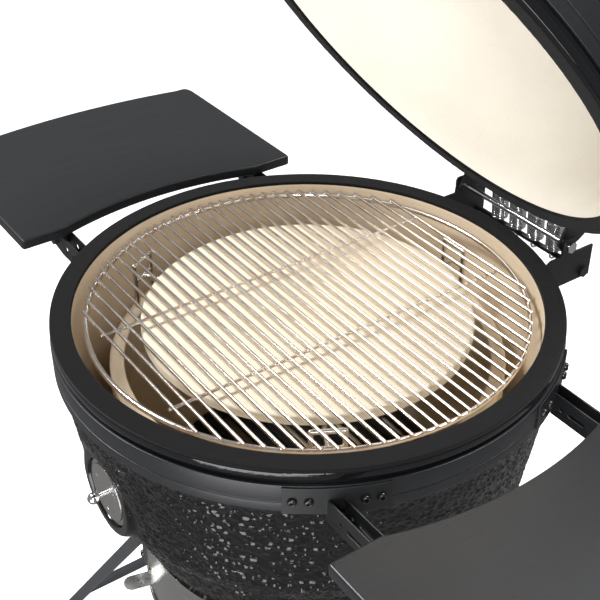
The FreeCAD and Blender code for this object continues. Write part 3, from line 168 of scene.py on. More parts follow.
def arc(start, via, end, spacing):
    """Points of the arc from start through via to end, a spacing apart."""
    (ax, ay), (bx, by), (cx, cy) = start, via, end
    twice = 2 * (ax * (by - cy) + bx * (cy - ay) + cx * (ay - by))
    squares = [x * x + y * y for x, y in (start, via, end)]
    middle = np.array([
        (squares[0] * (by - cy) + squares[1] * (cy - ay) + squares[2] * (ay - by)) / twice,
        (squares[0] * (cx - bx) + squares[1] * (ax - cx) + squares[2] * (bx - ax)) / twice])
    radius = np.linalg.norm(middle - start)
    angles = np.unwrap([math.atan2(y - middle[1], x - middle[0]) for x, y in (start, via, end)])
    count = max(2, round(abs(angles[2] - angles[0]) * radius / spacing))
    turn = np.linspace(angles[0], angles[2], count + 1)
    return list(middle + radius * np.stack((np.cos(turn), np.sin(turn)), -1))


def joined(*parts):
    """One outline from (kind, points) stretches, with the kind of each of its edges."""
    rows = np.array([spot for kind, spots in parts for spot in spots])
    kinds = np.array([kind for kind, spots in parts for spot in spots])
    return rows, kinds


# ---- meshes ----------------------------------------------------------------------------------

def lathe(rows, kinds=None, segments=360, hexed=()):
    """A closed outline of (radius, height) turned about the upright axis; hexed rows have six sides."""
    rows = np.asarray(rows, float)
    count = len(rows)
    turn = np.arange(segments) * 2 * np.pi / segments
    reach = np.repeat(rows[:, :1], segments, 1)
    flats = math.cos(math.pi / 6) / np.cos(turn % (math.pi / 3) - math.pi / 6)
    for index in hexed:
        reach[index] *= flats
    verts = np.stack((reach * np.cos(turn), reach * np.sin(turn),
                      np.repeat(rows[:, 1:2], segments, 1)), -1).reshape(-1, 3)
    row, spot = np.meshgrid(np.arange(count), np.arange(segments), indexing="ij")
    below, beside = (row + 1) % count, (spot + 1) % segments
    faces = np.stack((row * segments + spot, row * segments + beside, below * segments + beside,
                      below * segments + spot), -1).reshape(-1, 4)
    of_face = np.zeros(len(faces), int) if kinds is None else np.repeat(kinds, segments)
    return verts, faces.tolist(), of_face.tolist()


def tube(path, radius, sides=12):
    """A round wire along a line of points, with flat ends."""
    path = np.asarray(path, float)
    ahead = np.gradient(path, axis=0)
    ahead /= np.linalg.norm(ahead, axis=1)[:, None]
    side = np.cross(ahead[0], (0.31, 0.52, 0.79))
    turn = (np.arange(sides) * 2 * np.pi / sides)[:, None]
    verts = []
    for spot, way in zip(path, ahead):
        side = side - way * side.dot(way)
        side /= np.linalg.norm(side)
        verts.append(spot + radius * (np.cos(turn) * side + np.sin(turn) * np.cross(way, side)))
    faces = []
    for ring in range(len(path) - 1):
        for spot in range(sides):
            beside = (spot + 1) % sides
            faces.append((ring * sides + spot, ring * sides + beside,
                          (ring + 1) * sides + beside, (ring + 1) * sides + spot))
    last = (len(path) - 1) * sides
    faces += [tuple(range(sides))[::-1], tuple(range(last, last + sides))]
    return np.concatenate(verts), faces, [0] * len(faces)


FLAT = 2.0       # level ring inside a board's rounded edge, which keeps its flat faces evenly shaded


def slab(rim, low, high, edge, steps=4):
    """A board from its outline, seen from above, with rounded edges."""
    rim = np.array(rim, float)
    ahead = np.roll(rim, -1, 0) - rim
    ahead /= np.linalg.norm(ahead, axis=1)[:, None]
    behind = np.roll(ahead, 1, 0)
    out = np.stack((ahead[:, 1] + behind[:, 1], -ahead[:, 0] - behind[:, 0]), -1)
    out /= np.linalg.norm(out, axis=1)[:, None]
    area = (rim[:, 0] * np.roll(rim[:, 1], -1) - rim[:, 1] * np.roll(rim[:, 0], -1)).sum()
    out *= math.copysign(1, area)
    layers = []
    for level, way in ((low, 1), (high, -1)):
        bends = [(edge * (1 - math.sin(part)), level + way * edge * (1 - math.cos(part)))
                 for part in np.linspace(0, math.pi / 2, steps + 1)]
        bends = [(edge + FLAT, level), *bends]
        layers += bends if way > 0 else bends[::-1]
    verts = np.concatenate([np.column_stack((rim - out * inset, np.full(len(rim), level)))
                            for inset, level in layers])
    count = len(rim)
    cap = tessellate_polygon([[Vector(spot) for spot in verts[:count]]])
    last = len(verts) - count
    faces = [cell[::-1] for cell in cap] + [tuple(last + spot for spot in cell) for cell in cap]
    for ring in range(len(layers) - 1):
        for spot in range(count):
            beside = (spot + 1) % count
            faces.append((ring * count + spot, ring * count + beside,
                          (ring + 1) * count + beside, (ring + 1) * count + spot))
    return verts, faces, [0] * len(faces)


def merged(parts):
    """Several (points, faces, kinds) as one."""
    verts, faces, kinds = [], [], []
    shift = 0
    for points, loops, sorts in parts:
        verts.append(points)
        faces += [tuple(spot + shift for spot in loop) for loop in loops]
        kinds += sorts
        shift += len(points)
    return np.concatenate(verts), faces, kinds


def moved(part, matrix):
    """The part after a matrix given in millimetres."""
    verts, faces, kinds = part
    turn = np.array(matrix)
    return verts @ turn[:3, :3].T + turn[:3, 3], faces, kinds


def make(name, part, place, body, materials, replaces=()):
    """A piece from its points in millimetres, put in place, riding on a body, for CAD nodes."""
    verts, faces, kinds = part
    mesh = bpy.data.meshes.new(name)
    mesh.from_pydata((np.asarray(verts) * MM).tolist(), [], faces)
    mesh.transform(place)
    for material in materials:
        mesh.materials.append(material)
    mesh.polygons.foreach_set("material_index", kinds)
    work = bmesh.new()
    work.from_mesh(mesh)
    bmesh.ops.remove_doubles(work, verts=work.verts, dist=0.005 * MM)
    bmesh.ops.dissolve_degenerate(work, edges=work.edges, dist=0.001 * MM)
    bmesh.ops.recalc_face_normals(work, faces=work.faces)
    work.to_mesh(mesh)
    work.free()
    mesh.shade_smooth()
    mesh.set_sharp_from_angle(angle=math.radians(38))
    thing = bpy.data.objects.new(name, mesh)
    bpy.context.scene.collection.objects.link(thing)
    if body:
        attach(thing, body)
    if replaces:
        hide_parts(*replaces)
    return thing


def cells(points, size, seed=4):
    """Distances of points to the nearest and second nearest of scattered seeds, in seed spacings."""
    table = np.random.default_rng(seed).random((4096, 3))
    spots = points / size
    home = np.floor(spots).astype(np.int64)
    nearest = np.full(len(spots), 9.0)
    second = np.full(len(spots), 9.0)
    for shift in itertools.product((-1, 0, 1), repeat=3):
        cell = home + shift
        index = (cell[:, 0] * 7919 + cell[:, 1] * 104729 + cell[:, 2] * 1299709) % 4096
        gap = np.linalg.norm(spots - cell - table[index], axis=1)
        second = np.minimum(second, np.maximum(nearest, gap))
        nearest = np.minimum(nearest, gap)
    return nearest, second


def smooth(low, high, value):
    """A soft step from 0 at low to 1 at high."""
    part = np.clip((value - low) / (high - low), 0, 1)
    return part * part * (3 - 2 * part)


SQUASH = 1.5                 # lumps are this much wider than tall
CREASE, CREASE_PART = 0.42, 0.75   # width of a crease in lump spacings, and its part of the depth
DENT, DENT_PART = 2.3, 0.35        # spacing of wide dents in lump spacings, and their part


def pebbled(part, rows, weight, sizes, segments, way):
    """Press creases into the glaze; way is 1 for an outline that runs down the outside, -1 for up."""
    verts, faces, kinds = part
    slope = np.gradient(rows, axis=0)
    out = np.stack((slope[:, 1], -slope[:, 0]), -1)
    out /= np.linalg.norm(out, axis=1)[:, None]
    turn = np.arange(segments) * 2 * np.pi / segments
    out = np.stack((np.outer(out[:, 0], np.cos(turn)), np.outer(out[:, 0], np.sin(turn)),
                    np.repeat(out[:, 1:2], segments, 1)), -1).reshape(-1, 3)
    lump = sizes.lump / MM
    stretched = verts * (1, 1, SQUASH)
    nearest, second = cells(stretched, lump)
    crease = 1 - smooth(0.0, CREASE, second - nearest)
    dent = smooth(0.3, 0.9, cells(stretched, lump * DENT, seed=9)[0])
    depth = sizes.lump_depth / MM * (CREASE_PART * crease + DENT_PART * dent)
    verts -= out * (way * depth * weight)[:, None]
    return verts, faces, kinds


# ---- materials -------------------------------------------------------------------------------

def add(tree, kind, inputs=None, **settings):
    """A shader node with its settings, and its inputs set or linked."""
    node = tree.nodes.new(kind)
    for key, value in settings.items():
        setattr(node, key, value)
    for key, value in (inputs or {}).items():
        if isinstance(value, bpy.types.NodeSocket):
            tree.links.new(value, node.inputs[key])
        else:
            node.inputs[key].default_value = value
    return node


def started(name, base, **values):
    """A new material and its shader, with plain values."""
    material = bpy.data.materials.new(name)
    material.use_nodes = True
    material.diffuse_color = (*base, 1)
    shader = material.node_tree.nodes["Principled BSDF"]
    shader.inputs["Base Color"].default_value = (*base, 1)
    for key, value in values.items():
        shader.inputs[key.replace("_", " ").title().replace("Ior", "IOR")].default_value = value
    return material, shader


def placed(shader):
    """Coordinates of the object, in metres."""
    return add(shader.id_data, "ShaderNodeTexCoord").outputs["Object"]


def noise(place, spacing, detail, **more):
    """Noise whose features are about a spacing apart, in metres."""
    inputs = {"Vector": place, "Scale": 1 / spacing, "Detail": detail, **more}
    return add(place.id_data, "ShaderNodeTexNoise", inputs).outputs["Fac"]


def drawn(place, spacings, detail, **more):
    """Noise drawn out along an axis: a spacing in metres for each of X, Y and Z."""
    scale = tuple(1 / spacing for spacing in spacings)
    mapped = add(place.id_data, "ShaderNodeMapping", {"Vector": place, "Scale": scale})
    return noise(mapped.outputs["Vector"], 1.0, detail, **more)


def ramped(factor, stops):
    """A colour ramp; stops are (place, value), a value being grey or a colour."""
    ramp = add(factor.id_data, "ShaderNodeValToRGB", {"Fac": factor})
    for element, (place, value) in zip(ramp.color_ramp.elements, stops):
        element.position = place
        element.color = (*value, 1) if isinstance(value, tuple) else (value, value, value, 1)
    return ramp.outputs["Color"]


def driven(shader, socket, factor, stops):
    """Drive a socket of the shader from a factor, through a ramp."""
    shader.id_data.links.new(ramped(factor, stops), shader.inputs[socket])


def bumped(shader, height, strength, distance):
    """Raise the surface where the height is bright; the distance is in metres."""
    bump = add(shader.id_data, "ShaderNodeBump",
               {"Height": height, "Strength": strength, "Distance": distance})
    shader.id_data.links.new(bump.outputs["Normal"], shader.inputs["Normal"])


def shaded(base, part):
    """A colour made lighter or darker."""
    return tuple(min(1.0, channel * part) for channel in base)


def glazed_stoneware(base):
    """Black gloss glaze fired over pebbled stoneware: bright small highlights on each lump."""
    material, shader = started("glazed_stoneware", base, roughness=0.2, ior=1.52)
    place = placed(shader)
    pool = noise(place, 0.012, 4.0)
    driven(shader, "Base Color", pool, [(0.35, shaded(base, 0.6)), (0.7, shaded(base, 1.5))])
    driven(shader, "Roughness", pool, [(0.3, 0.07), (0.75, 0.2)])
    bumped(shader, noise(place, 0.0022, 3.0), 0.35, 0.0006)
    return material


def smooth_glaze(base):
    """The same glaze where the mould is smooth: a mirror-like lip with a faint orange peel."""
    material, shader = started("smooth_glaze", base, roughness=0.1, ior=1.52)
    peel = noise(placed(shader), 0.006, 2.0)
    driven(shader, "Roughness", peel, [(0.3, 0.07), (0.8, 0.18)])
    bumped(shader, peel, 0.25, 0.0008)
    return material


def speckled_clay(name, base, roughness, grit, fleck):
    """Pressed, unglazed clay: matt, finely gritty, with flecks of another tone."""
    material, shader = started(name, base, roughness=roughness, ior=1.45)
    tree, place = shader.id_data, placed(shader)
    toned = ramped(noise(place, 0.09, 5.0), [(0.3, shaded(base, 0.96)), (0.7, shaded(base, 1.03))])
    spots = add(tree, "ShaderNodeTexVoronoi", {"Vector": place, "Scale": 1 / (grit * 3)})
    mask = ramped(spots.outputs["Distance"], [(0.06, 1.0), (0.2, 0.0)])
    mix = add(tree, "ShaderNodeMix", {0: mask, 6: toned, 7: (*shaded(base, fleck), 1)},
              data_type="RGBA")
    tree.links.new(mix.outputs[2], shader.inputs["Base Color"])
    bumped(shader, noise(place, grit, 4.0), 0.5, grit * 0.25)
    return material


def pressed_felt(base):
    """Needle-punched felt: matt fibres that catch light at the edge."""
    material, shader = started("pressed_felt", base, roughness=0.95, sheen_weight=0.05,
                               sheen_roughness=0.6)
    shader.inputs["Specular IOR Level"].default_value = 0.15
    fibre = noise(placed(shader), 0.0014, 6.0, Roughness=0.75, Distortion=1.4)
    driven(shader, "Base Color", fibre, [(0.3, shaded(base, 0.5)), (0.75, shaded(base, 1.7))])
    bumped(shader, fibre, 0.8, 0.0006)
    return material


def painted_steel(name, base, roughness, grain, strength, coat=0.0):
    """Powder coat baked on steel: an even colour with a fine pimpled skin."""
    material, shader = started(name, base, roughness=roughness, ior=1.5, coat_weight=coat,
                               coat_roughness=0.25)
    place = placed(shader)
    skin = noise(place, grain, 2.0)
    driven(shader, "Base Color", noise(place, 0.06, 4.0),
           [(0.3, shaded(base, 0.88)), (0.7, shaded(base, 1.15))])
    driven(shader, "Roughness", skin, [(0.3, roughness * 0.8), (0.7, min(1.0, roughness * 1.25))])
    bumped(shader, skin, strength, grain * 0.15)
    return material


def brushed_steel(name, base, roughness, across, along, strength=0.25):
    """Stainless sheet brushed along one way: fine streaks that stretch highlights across them."""
    material, shader = started(name, base, roughness=roughness, metallic=1.0)
    spacings = [across if axis == along else 0.05 for axis in "XYZ"]
    streak = drawn(placed(shader), spacings, 5.0, Roughness=0.7)
    driven(shader, "Base Color", streak, [(0.3, shaded(base, 0.86)), (0.7, shaded(base, 1.08))])
    driven(shader, "Roughness", streak, [(0.25, roughness * 0.7), (0.75, roughness * 1.35)])
    bumped(shader, streak, strength, 0.0002)
    return material


def bright_wire(name, base, tint, roughness):
    """Drawn and polished steel rod: sharp highlights, with a faint warm tint in places."""
    material, shader = started(name, base, roughness=roughness, metallic=1.0)
    place = placed(shader)
    driven(shader, "Base Color", noise(place, 0.03, 4.0), [(0.35, base), (0.7, tint)])
    driven(shader, "Roughness", noise(place, 0.0012, 3.0),
           [(0.3, roughness * 0.7), (0.7, roughness * 1.5)])
    return material


def stained_board(base):
    """Dense board stained black and oiled: fine straight grain along its length, satin."""
    material, shader = started("stained_board", base, roughness=0.36, ior=1.48)
    # grain lines 1.6 mm apart, drawn out 60 times along the board
    grain = drawn(placed(shader), (0.0016, 0.096, 0.0016), 5.0, Roughness=0.65, Distortion=0.2)
    driven(shader, "Base Color", grain, [(0.3, shaded(base, 0.7)), (0.7, shaded(base, 1.35))])
    driven(shader, "Roughness", grain, [(0.3, 0.42), (0.7, 0.3)])
    bumped(shader, grain, 0.3, 0.0003)
    return material


def cast_iron(base):
    """Sand-cast iron, blackened: a coarse grain with dull highlights."""
    material, shader = started("cast_iron", base, roughness=0.55, metallic=0.6)
    sand = noise(placed(shader), 0.0016, 4.0)
    driven(shader, "Base Color", sand, [(0.3, shaded(base, 0.7)), (0.75, shaded(base, 1.5))])
    driven(shader, "Roughness", sand, [(0.3, 0.45), (0.7, 0.7)])
    bumped(shader, sand, 0.6, 0.0006)
    return material


def moulded_rubber(base):
    """Moulded black rubber: matt, slightly dusty."""
    material, shader = started("moulded_rubber", base, roughness=0.75, ior=1.52)
    dust = noise(placed(shader), 0.008, 5.0)
    driven(shader, "Base Color", dust, [(0.35, base), (0.8, shaded(base, 1.9))])
    return material


def enamel(name, base, roughness):
    """Stoved enamel: an even colour with a slight mottle."""
    material, shader = started(name, base, roughness=roughness, ior=1.5)
    mottle = noise(placed(shader), 0.004, 2.0)
    driven(shader, "Base Color", mottle, [(0.3, shaded(base, 0.95)), (0.7, base)])
    return material


def clear_glass():
    """Flat clear glass over the dial."""
    return started("clear_glass", (0.98, 1.0, 0.99), roughness=0.02, ior=1.5,
                   transmission_weight=1.0)[0]


FINISHES = {}


def make_finishes(colours):
    """Every finish, by its name."""
    steel = linear("#c9c8c5")
    FINISHES.update({
        "glaze": glazed_stoneware(tuple(colours.glaze)),
        "lip": smooth_glaze(tuple(colours.lip)),
        "clay": speckled_clay("fire_clay", colours.clay, 0.85, 0.0015, 0.72),
        "lining": speckled_clay("fired_lining", colours.lining, 0.6, 0.0022, 0.93),
        "stone": speckled_clay("deflector_stone", colours.stone, 0.8, 0.0018, 0.8),
        "felt": pressed_felt(tuple(colours.felt)),
        "band": painted_steel("stoved_band_steel", colours.band, 0.4, 0.0014, 0.2, coat=0.1),
        "powder": painted_steel("powder_coated_steel", colours.powder, 0.42, 0.0012, 0.45),
        "leg": painted_steel("painted_leg_steel", colours.leg, 0.4, 0.0012, 0.3),
        "screw": painted_steel("black_oxide_steel", linear("#0e0f11"), 0.3, 0.001, 0.2, coat=0.4),
        "hoop": brushed_steel("brushed_stainless", steel, 0.3, 0.0012, "Z"),
        "plate": brushed_steel("brushed_port_plate", linear("#c6c4c0"), 0.28, 0.0009, "X"),
        "pan": brushed_steel("rolled_pan_steel", linear("#a9a8a5"), 0.38, 0.0015, "X"),
        "wire": bright_wire("polished_grate_rod", linear("#f1eeea"), linear("#dccbc0"), 0.14),
        "rack": bright_wire("drawn_rack_wire", linear("#dedbd6"), linear("#c4b8ae"), 0.22),
        "chrome": bright_wire("chromed_steel", linear("#ececee"), linear("#dcdcdf"), 0.08),
        "board": stained_board(tuple(colours.board)),
        "iron": cast_iron(linear("#26272a")),
        "rubber": moulded_rubber(linear("#1d1d1e")),
        "dial": enamel("dial_enamel", linear("#efeee8"), 0.45),
        "ink": enamel("dial_ink", linear("#1a1a1c"), 0.5),
        "needle": enamel("needle_enamel", linear("#a5160f"), 0.35),
        "glass": clear_glass(),
    })


KEPT = {
    "fire_ring": "clay", "fire_box": "clay", "charcoal_grate": "iron", "deflector_rack": "rack",
    "cooking_grate": "wire", "base_hoop": "hoop", "door_rails": "hoop", "draft_door": "hoop",
    "draft_tab": "hoop", "ash_pan": "pan", "leg_front_left": "leg", "leg_front_right": "leg",
    "leg_rear_left": "leg", "leg_rear_right": "leg", "leg_brackets": "leg",
    "leg_stretcher_left": "leg", "leg_stretcher_right": "leg", "port_sleeve": "plate",
    "port_shutter": "plate", "port_knob": "chrome", "arm_front_left": "powder",
    "arm_front_right": "powder", "arm_rear_left": "powder", "arm_rear_right": "powder",
    "shelf_pins": "powder", "shelf_brackets_left": "powder", "shelf_brackets_right": "powder",
    "hinge_plate_left": "powder", "hinge_plate_right": "powder", "hinge_arm_left": "powder",
    "hinge_arm_right": "powder", "hinge_rod": "chrome", "spring_bar_lower": "screw",
    "spring_bar_upper": "screw", "handle_posts": "chrome", "gauge_needle": "needle",
    "gauge_glass": "glass", "vent_collar": "iron", "vent_wheel": "iron",
}
# nodes whose edges are round already, and edges wider than the others
ROUND = {"cooking_grate", "deflector_rack", "port_knob", "gauge_glass", "gauge_needle"}
WIDE_EDGE = {"fire_ring": 5, "fire_box": 3, "vent_wheel": 2, "vent_collar": 2}


class GRILL_OT_kept(bpy.types.Operator):
    """Finish the CAD parts whose shape is right, and round their edges"""
    bl_idname = "grill.kept"
    bl_label = "Finished CAD parts"

    def execute(self, context):
        edge = context.scene.grill_sizes.edge
        for node, finish in KEPT.items():
            thing = frame["nodes"][node]
            slots = thing.data.materials
            if not slots:
                slots.append(FINISHES[finish])
            for index in range(len(slots)):
                slots[index] = FINISHES[finish]
            if node in ROUND:
                continue
            weld = thing.modifiers.new("Weld", "WELD")
            weld.merge_threshold = 0.01 * MM
            bevel = thing.modifiers.new("Rounded edges", "BEVEL")
            bevel.width = edge * WIDE_EDGE.get(node, 1)
            bevel.segments = 2
            bevel.limit_method = "ANGLE"
            bevel.angle_limit = math.radians(40)
            thing.modifiers.new("Flat faces", "WEIGHTED_NORMAL")
        return {"FINISHED"}


# ---- ceramic ---------------------------------------------------------------------------------

FINE = 900       # segments round a pebbled shell, about 2 mm apart


def bored(thing, cutters):
    """The ceramic less turned cutters, which are then removed."""
    for cutter in cutters:
        bore = thing.modifiers.new("Bore", "BOOLEAN")
        bore.operation = "DIFFERENCE"
        bore.solver = "EXACT"
        bore.object = cutter
    graph = bpy.context.evaluated_depsgraph_get()
    mesh = bpy.data.meshes.new_from_object(thing.evaluated_get(graph))
    thing.modifiers.clear()
    thing.data = mesh
    for cutter in cutters:
        bpy.data.objects.remove(cutter)


class GRILL_OT_bowl(bpy.types.Operator):
    """Pebbled bowl with its smooth lip and the spot-faced hole of the chip port"""
    bl_idname = "grill.bowl"
    bl_label = "Bowl"

    def execute(self, context):
        sizes = context.scene.grill_sizes
        pitch = 2.2
        side = arc((SEAT, -SHOULDER), (288, -118), (278.5, -185), pitch)
        side += arc((278.5, -185), (271, -213), (252, -236), pitch)[1:]
        rows, kinds = joined(
            (1, rounded([(RIM_INNER, -FELT), (RIM, -FELT, 2.5), (RIM, -FELT - 10, 2.5),
                         (SEAT, -FELT - 10, 0.8), (SEAT, -SHOULDER + 2)], closed=False)),
            (0, side),
            (0, arc((252, -236), (236, -285), (212, -322), pitch)[1:]),
            (2, rounded([(212, -322), (60, -322, 3), (60, -297, 3), (203, -297)], closed=False)[1:]),
            (2, arc((203, -297), (229, -241), (251, -190), 10)[1:]),
            (2, arc((251, -190), (267, -100), (RIM_INNER, -FELT), 12)[1:-1]))
        part = lathe(rows, kinds, FINE)
        verts = part[0]
        reach = np.hypot(verts[:, 0], verts[:, 2] + PORT_DROP)
        front = verts[:, 1] < -150
        glazed = np.repeat(kinds == 0, FINE)
        weight = (smooth(SHOULDER, SHOULDER + PEBBLE_START, -verts[:, 2]) * glazed
                  * np.where(front, smooth(SMOOTH_PORT, PEBBLED_PORT, reach), 1))
        part = pebbled(part, rows, weight, sizes, FINE, -1)
        flat = (1 - smooth(COLLAR, COLLAR_BLEND, reach)) * front * glazed * (verts[:, 2] > COLLAR_LOW)
        verts[:, 1] += (-PORT_FACE - verts[:, 1]) * flat
        bowl = make("bowl", part, BASE, None,
                    [FINISHES[name] for name in ("glaze", "lip", "clay")])
        place = BASE @ Matrix.Translation((0, 0, -PORT_DROP * MM)) @ FRONT
        inside, outside = 100, 340
        rows = [(0, inside), (PORT_BORE, inside), (PORT_BORE, PORT_FACE - RECESS_DEPTH),
                (PORT_RECESS, PORT_FACE - RECESS_DEPTH), (PORT_RECESS, outside), (0, outside)]
        cutter = make("port_cutter", lathe(rows, [1] * len(rows), 96), place, None,
                      [FINISHES["glaze"], FINISHES["lip"]])
        bored(bowl, [cutter])
        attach(bowl, "base")
        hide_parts("base_bowl")
        return {"FINISHED"}


class GRILL_OT_lid(bpy.types.Operator):
    """Pebbled lid with its smooth lip, cream lining and vent neck"""
    bl_idname = "grill.lid"
    bl_label = "Lid"

    def execute(self, context):
        sizes = context.scene.grill_sizes
        low, wall, knuckle, crown = LID_LOW + FELT, 24, 150, 330
        start = LID_LOW + SHOULDER
        reach, spread = SEAT - knuckle, crown - knuckle
        drop = math.sqrt(spread ** 2 - reach ** 2)
        sides = {}
        for name, inset, neck, pitch in (("out", 0, 62, 2.2), ("in", wall, 48, 8)):
            half = math.atan2(drop, reach) / 2
            small, large = knuckle - inset, crown - inset
            meet = (reach * large / spread, start - drop + drop * large / spread)
            top = (neck, start - drop + math.sqrt(large ** 2 - neck ** 2))
            across = (meet[0] + neck) / 2
            via = (across, start - drop + math.sqrt(large ** 2 - across ** 2))
            shoulder = (reach + small * math.cos(half), start + small * math.sin(half))
            sides[name] = (arc((SEAT - inset, start), shoulder, meet, pitch)
                           + arc(meet, via, top, pitch)[1:])
        rows, kinds = joined(
            (2, [(RIM_INNER, low)]),
            (1, rounded([(RIM_INNER, low), (RIM, low, 2.5), (RIM, low + 10, 2.5),
                         (SEAT, low + 10, 0.8), (SEAT, start - 2)], closed=False)[1:]),
            (0, sides["out"]),
            (1, rounded([(62, 283), (62, 290, 2), (48, 290, 2), (48, 270)], closed=False)),
            (2, sides["in"][::-1]))
        part = lathe(rows, kinds, FINE)
        height = part[0][:, 2]
        glazed = np.repeat(kinds == 0, FINE)
        weight = (smooth(start, start + PEBBLE_START, height) * glazed
                  * (1 - smooth(266, 276, height)))
        part = pebbled(part, rows, weight, sizes, FINE, 1)
        make("lid_shell", part, LID, "lid",
             [FINISHES[name] for name in ("glaze", "lip", "lining")], ["lid_dome"])
        return {"FINISHED"}


class GRILL_OT_gaskets(bpy.types.Operator):
    """Felt rings on the two rims, slightly uneven, with soft edges"""
    bl_idname = "grill.gaskets"
    bl_label = "Gaskets"

    def execute(self, context):
        fuzz = context.scene.grill_sizes.felt_fuzz / MM
        corners = [(RIM_INNER + 0.6, -FELT), (RIM_INNER + 0.6, 0, 1.2), (RIM - 0.6, 0, 1.2),
                   (RIM - 0.6, -FELT)]
        rows = rounded(corners)
        spread = [(1, np.linspace(rows[index], rows[(index + 1) % len(rows)], 6)[:-1])
                  for index in range(len(rows))]
        rows = np.array([spot for kind, spots in spread for spot in spots])
        for name, place, body, node, way in (("base_felt", BASE, "base", "base_gasket", 1),
                                             ("lid_felt", LID, "lid", "lid_gasket", -1)):
            level = rows * (1, way) + (0, 0 if way > 0 else LID_LOW)
            verts, faces, kinds = lathe(level, None, 720)
            nearest = cells(verts, 5.0, seed=21 + way)[0]
            verts[:, 2] -= way * fuzz * nearest
            make(name, (verts, faces, kinds), place, body, [FINISHES["felt"]], [node])
        return {"FINISHED"}


class GRILL_OT_bands(bpy.types.Operator):
    """Painted steel bands with a line rolled into the lower third"""
    bl_idname = "grill.bands"
    bl_label = "Bands"

    def execute(self, context):
        height, depth = 35.0, 0.8
        for name, place, body, node, low in (
                ("bowl_band", BASE, "base", "base_band", -FELT - 16 - height),
                ("lid_band_ring", LID, "lid", "lid_band", LID_LOW + FELT + 16)):
            outer, line = SEAT + 4, low + height / 3
            rows = rounded([
                (SEAT + 0.3, low), (outer, low, 1), (outer, line, 0.3), (outer - depth, line + 0.3, 0.3),
                (outer - depth, line + 1.9, 0.3), (outer, line + 2.2, 0.3), (outer, low + height, 1),
                (SEAT + 0.3, low + height)])
            make(name, lathe(rows, None, 360), place, body, [FINISHES["band"]], [node])
        return {"FINISHED"}


class GRILL_OT_deflector(bpy.types.Operator):
    """Deflector stone with a worn, rounded edge"""
    bl_idname = "grill.deflector"
    bl_label = "Deflector"

    def execute(self, context):
        rows = rounded([(0, -33), (197, -33, 2.5), (197, -20, 4), (0, -20)], steps=6)
        make("deflector_stone", lathe(rows, None, 240), BASE, "base", [FINISHES["stone"]],
             ["deflector_plate"])
        return {"FINISHED"}


# ---- shelves, bolts and springs --------------------------------------------------------------

def islands(node):
    """The separate solids of a CAD node, as the middles and lengths of their boxes in millimetres."""
    work = bmesh.new()
    work.from_mesh(frame["nodes"][node].data)
    bmesh.ops.remove_doubles(work, verts=work.verts, dist=0.01 * MM)
    left = set(work.verts)
    found = []
    while left:
        stack = [left.pop()]
        spots = []
        while stack:
            vert = stack.pop()
            spots.append(vert.co / MM)
            for edge in vert.link_edges:
                other = edge.other_vert(vert)
                if other in left:
                    left.remove(other)
                    stack.append(other)
        spots = np.array(spots)
        found.append((Vector(spots.min(0) + spots.max(0)) / 2, spots))
    work.free()
    return sorted(found, key=lambda item: tuple(item[0]))


def button_head(radius, height):
    """A domed screw head with a hexagon socket, standing on the level 0."""
    deep = height * 0.45
    rows = [(0, 0), (radius, 0), (radius, height * 0.3), (radius * 0.93, height * 0.62),
            (radius * 0.75, height * 0.9), (radius * 0.55, height), (radius * 0.5, height),
            (radius * 0.46, height * 0.97), (radius * 0.46, deep), (0, deep)]
    return lathe(rows, None, 36, hexed=(7, 8))


class GRILL_OT_bolts(bpy.types.Operator):
    """Socket screws on arms, brackets and hinges, and screws under the shelves"""
    bl_idname = "grill.bolts"
    bl_label = "Bolts and screws"

    def execute(self, context):
        upright = AXIS / MM
        sunk = 2       # from the middle of a bolt's CAD solid back to its seat
        for node, body, place in (("arm_bolts", "base", BASE), ("leg_bolts", "base", BASE),
                                  ("hinge_bolts", "base", BASE), ("lid_hinge_bolts", "lid", LID)):
            heads = []
            back = place.inverted()
            for middle, spots in islands(node):
                spot = (back @ (middle * MM)) / MM
                way = Vector((spot.x, spot.y, 0)).normalized()
                turn = way.to_track_quat("Z", "Y").to_matrix().to_4x4()
                seat = spot - way * sunk
                heads.append(moved(button_head(5, 4), Matrix.Translation(seat) @ turn))
            make(f"{node}_heads", merged(heads), place, body, [FINISHES["screw"]], [node])
        for name in ("left", "right"):
            heads = []
            node = f"shelf_screws_{name}"
            for middle, spots in islands(node):
                top = Vector((middle.x, middle.y, spots[:, 2].max())) - upright
                turn = Matrix.Rotation(math.pi, 4, "X")
                heads.append(moved(button_head(4.5, 2.5), Matrix.Translation(top) @ turn))
            make(f"{node}_heads", merged(heads), BASE, f"shelf_{name}", [FINISHES["chrome"]], [node])
        return {"FINISHED"}


class GRILL_OT_shelves(bpy.types.Operator):
    """Stained shelf boards with rounded edges"""
    bl_idname = "grill.shelves"
    bl_label = "Shelves"

    def execute(self, context):
        edge = context.scene.grill_sizes.board_edge / MM
        half, inner, hollow, end, bow, straight, corner = 210, 336, 361, 632, 650, 60, 23
        shift, pitch = -6, 12
        for name, side in (("left", -1), ("right", 1)):
            low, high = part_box(f"shelf_{name}")
            rim = rounded([(inner, -half), (end, -half, corner), (end, -half + corner)],
                          closed=False, steps=8)
            rim = [(inner, -half + 5), (inner + 0.7, -half + 1.5), (inner + 2, -half + 0.5),
                   (inner + 5, -half)] + rim[1:-1]
            outer = arc((end, -half + corner), (bow, 0), (end, half - corner), pitch)
            mirrored = [(x, -y) for x, y in rim[::-1]]
            hollowed = arc((inner, half - straight), (hollow, 0), (inner, -half + straight), pitch)
            whole = [(side * x, y + shift) for x, y in rim + list(outer) + mirrored + list(hollowed)]
            whole = whole if side > 0 else whole[::-1]
            part = slab(whole, (low.z - AXIS.z) / MM, (high.z - AXIS.z) / MM, edge)
            make(f"board_{name}", part, BASE, f"shelf_{name}", [FINISHES["board"]],
                 [f"shelf_{name}"])
        return {"FINISHED"}


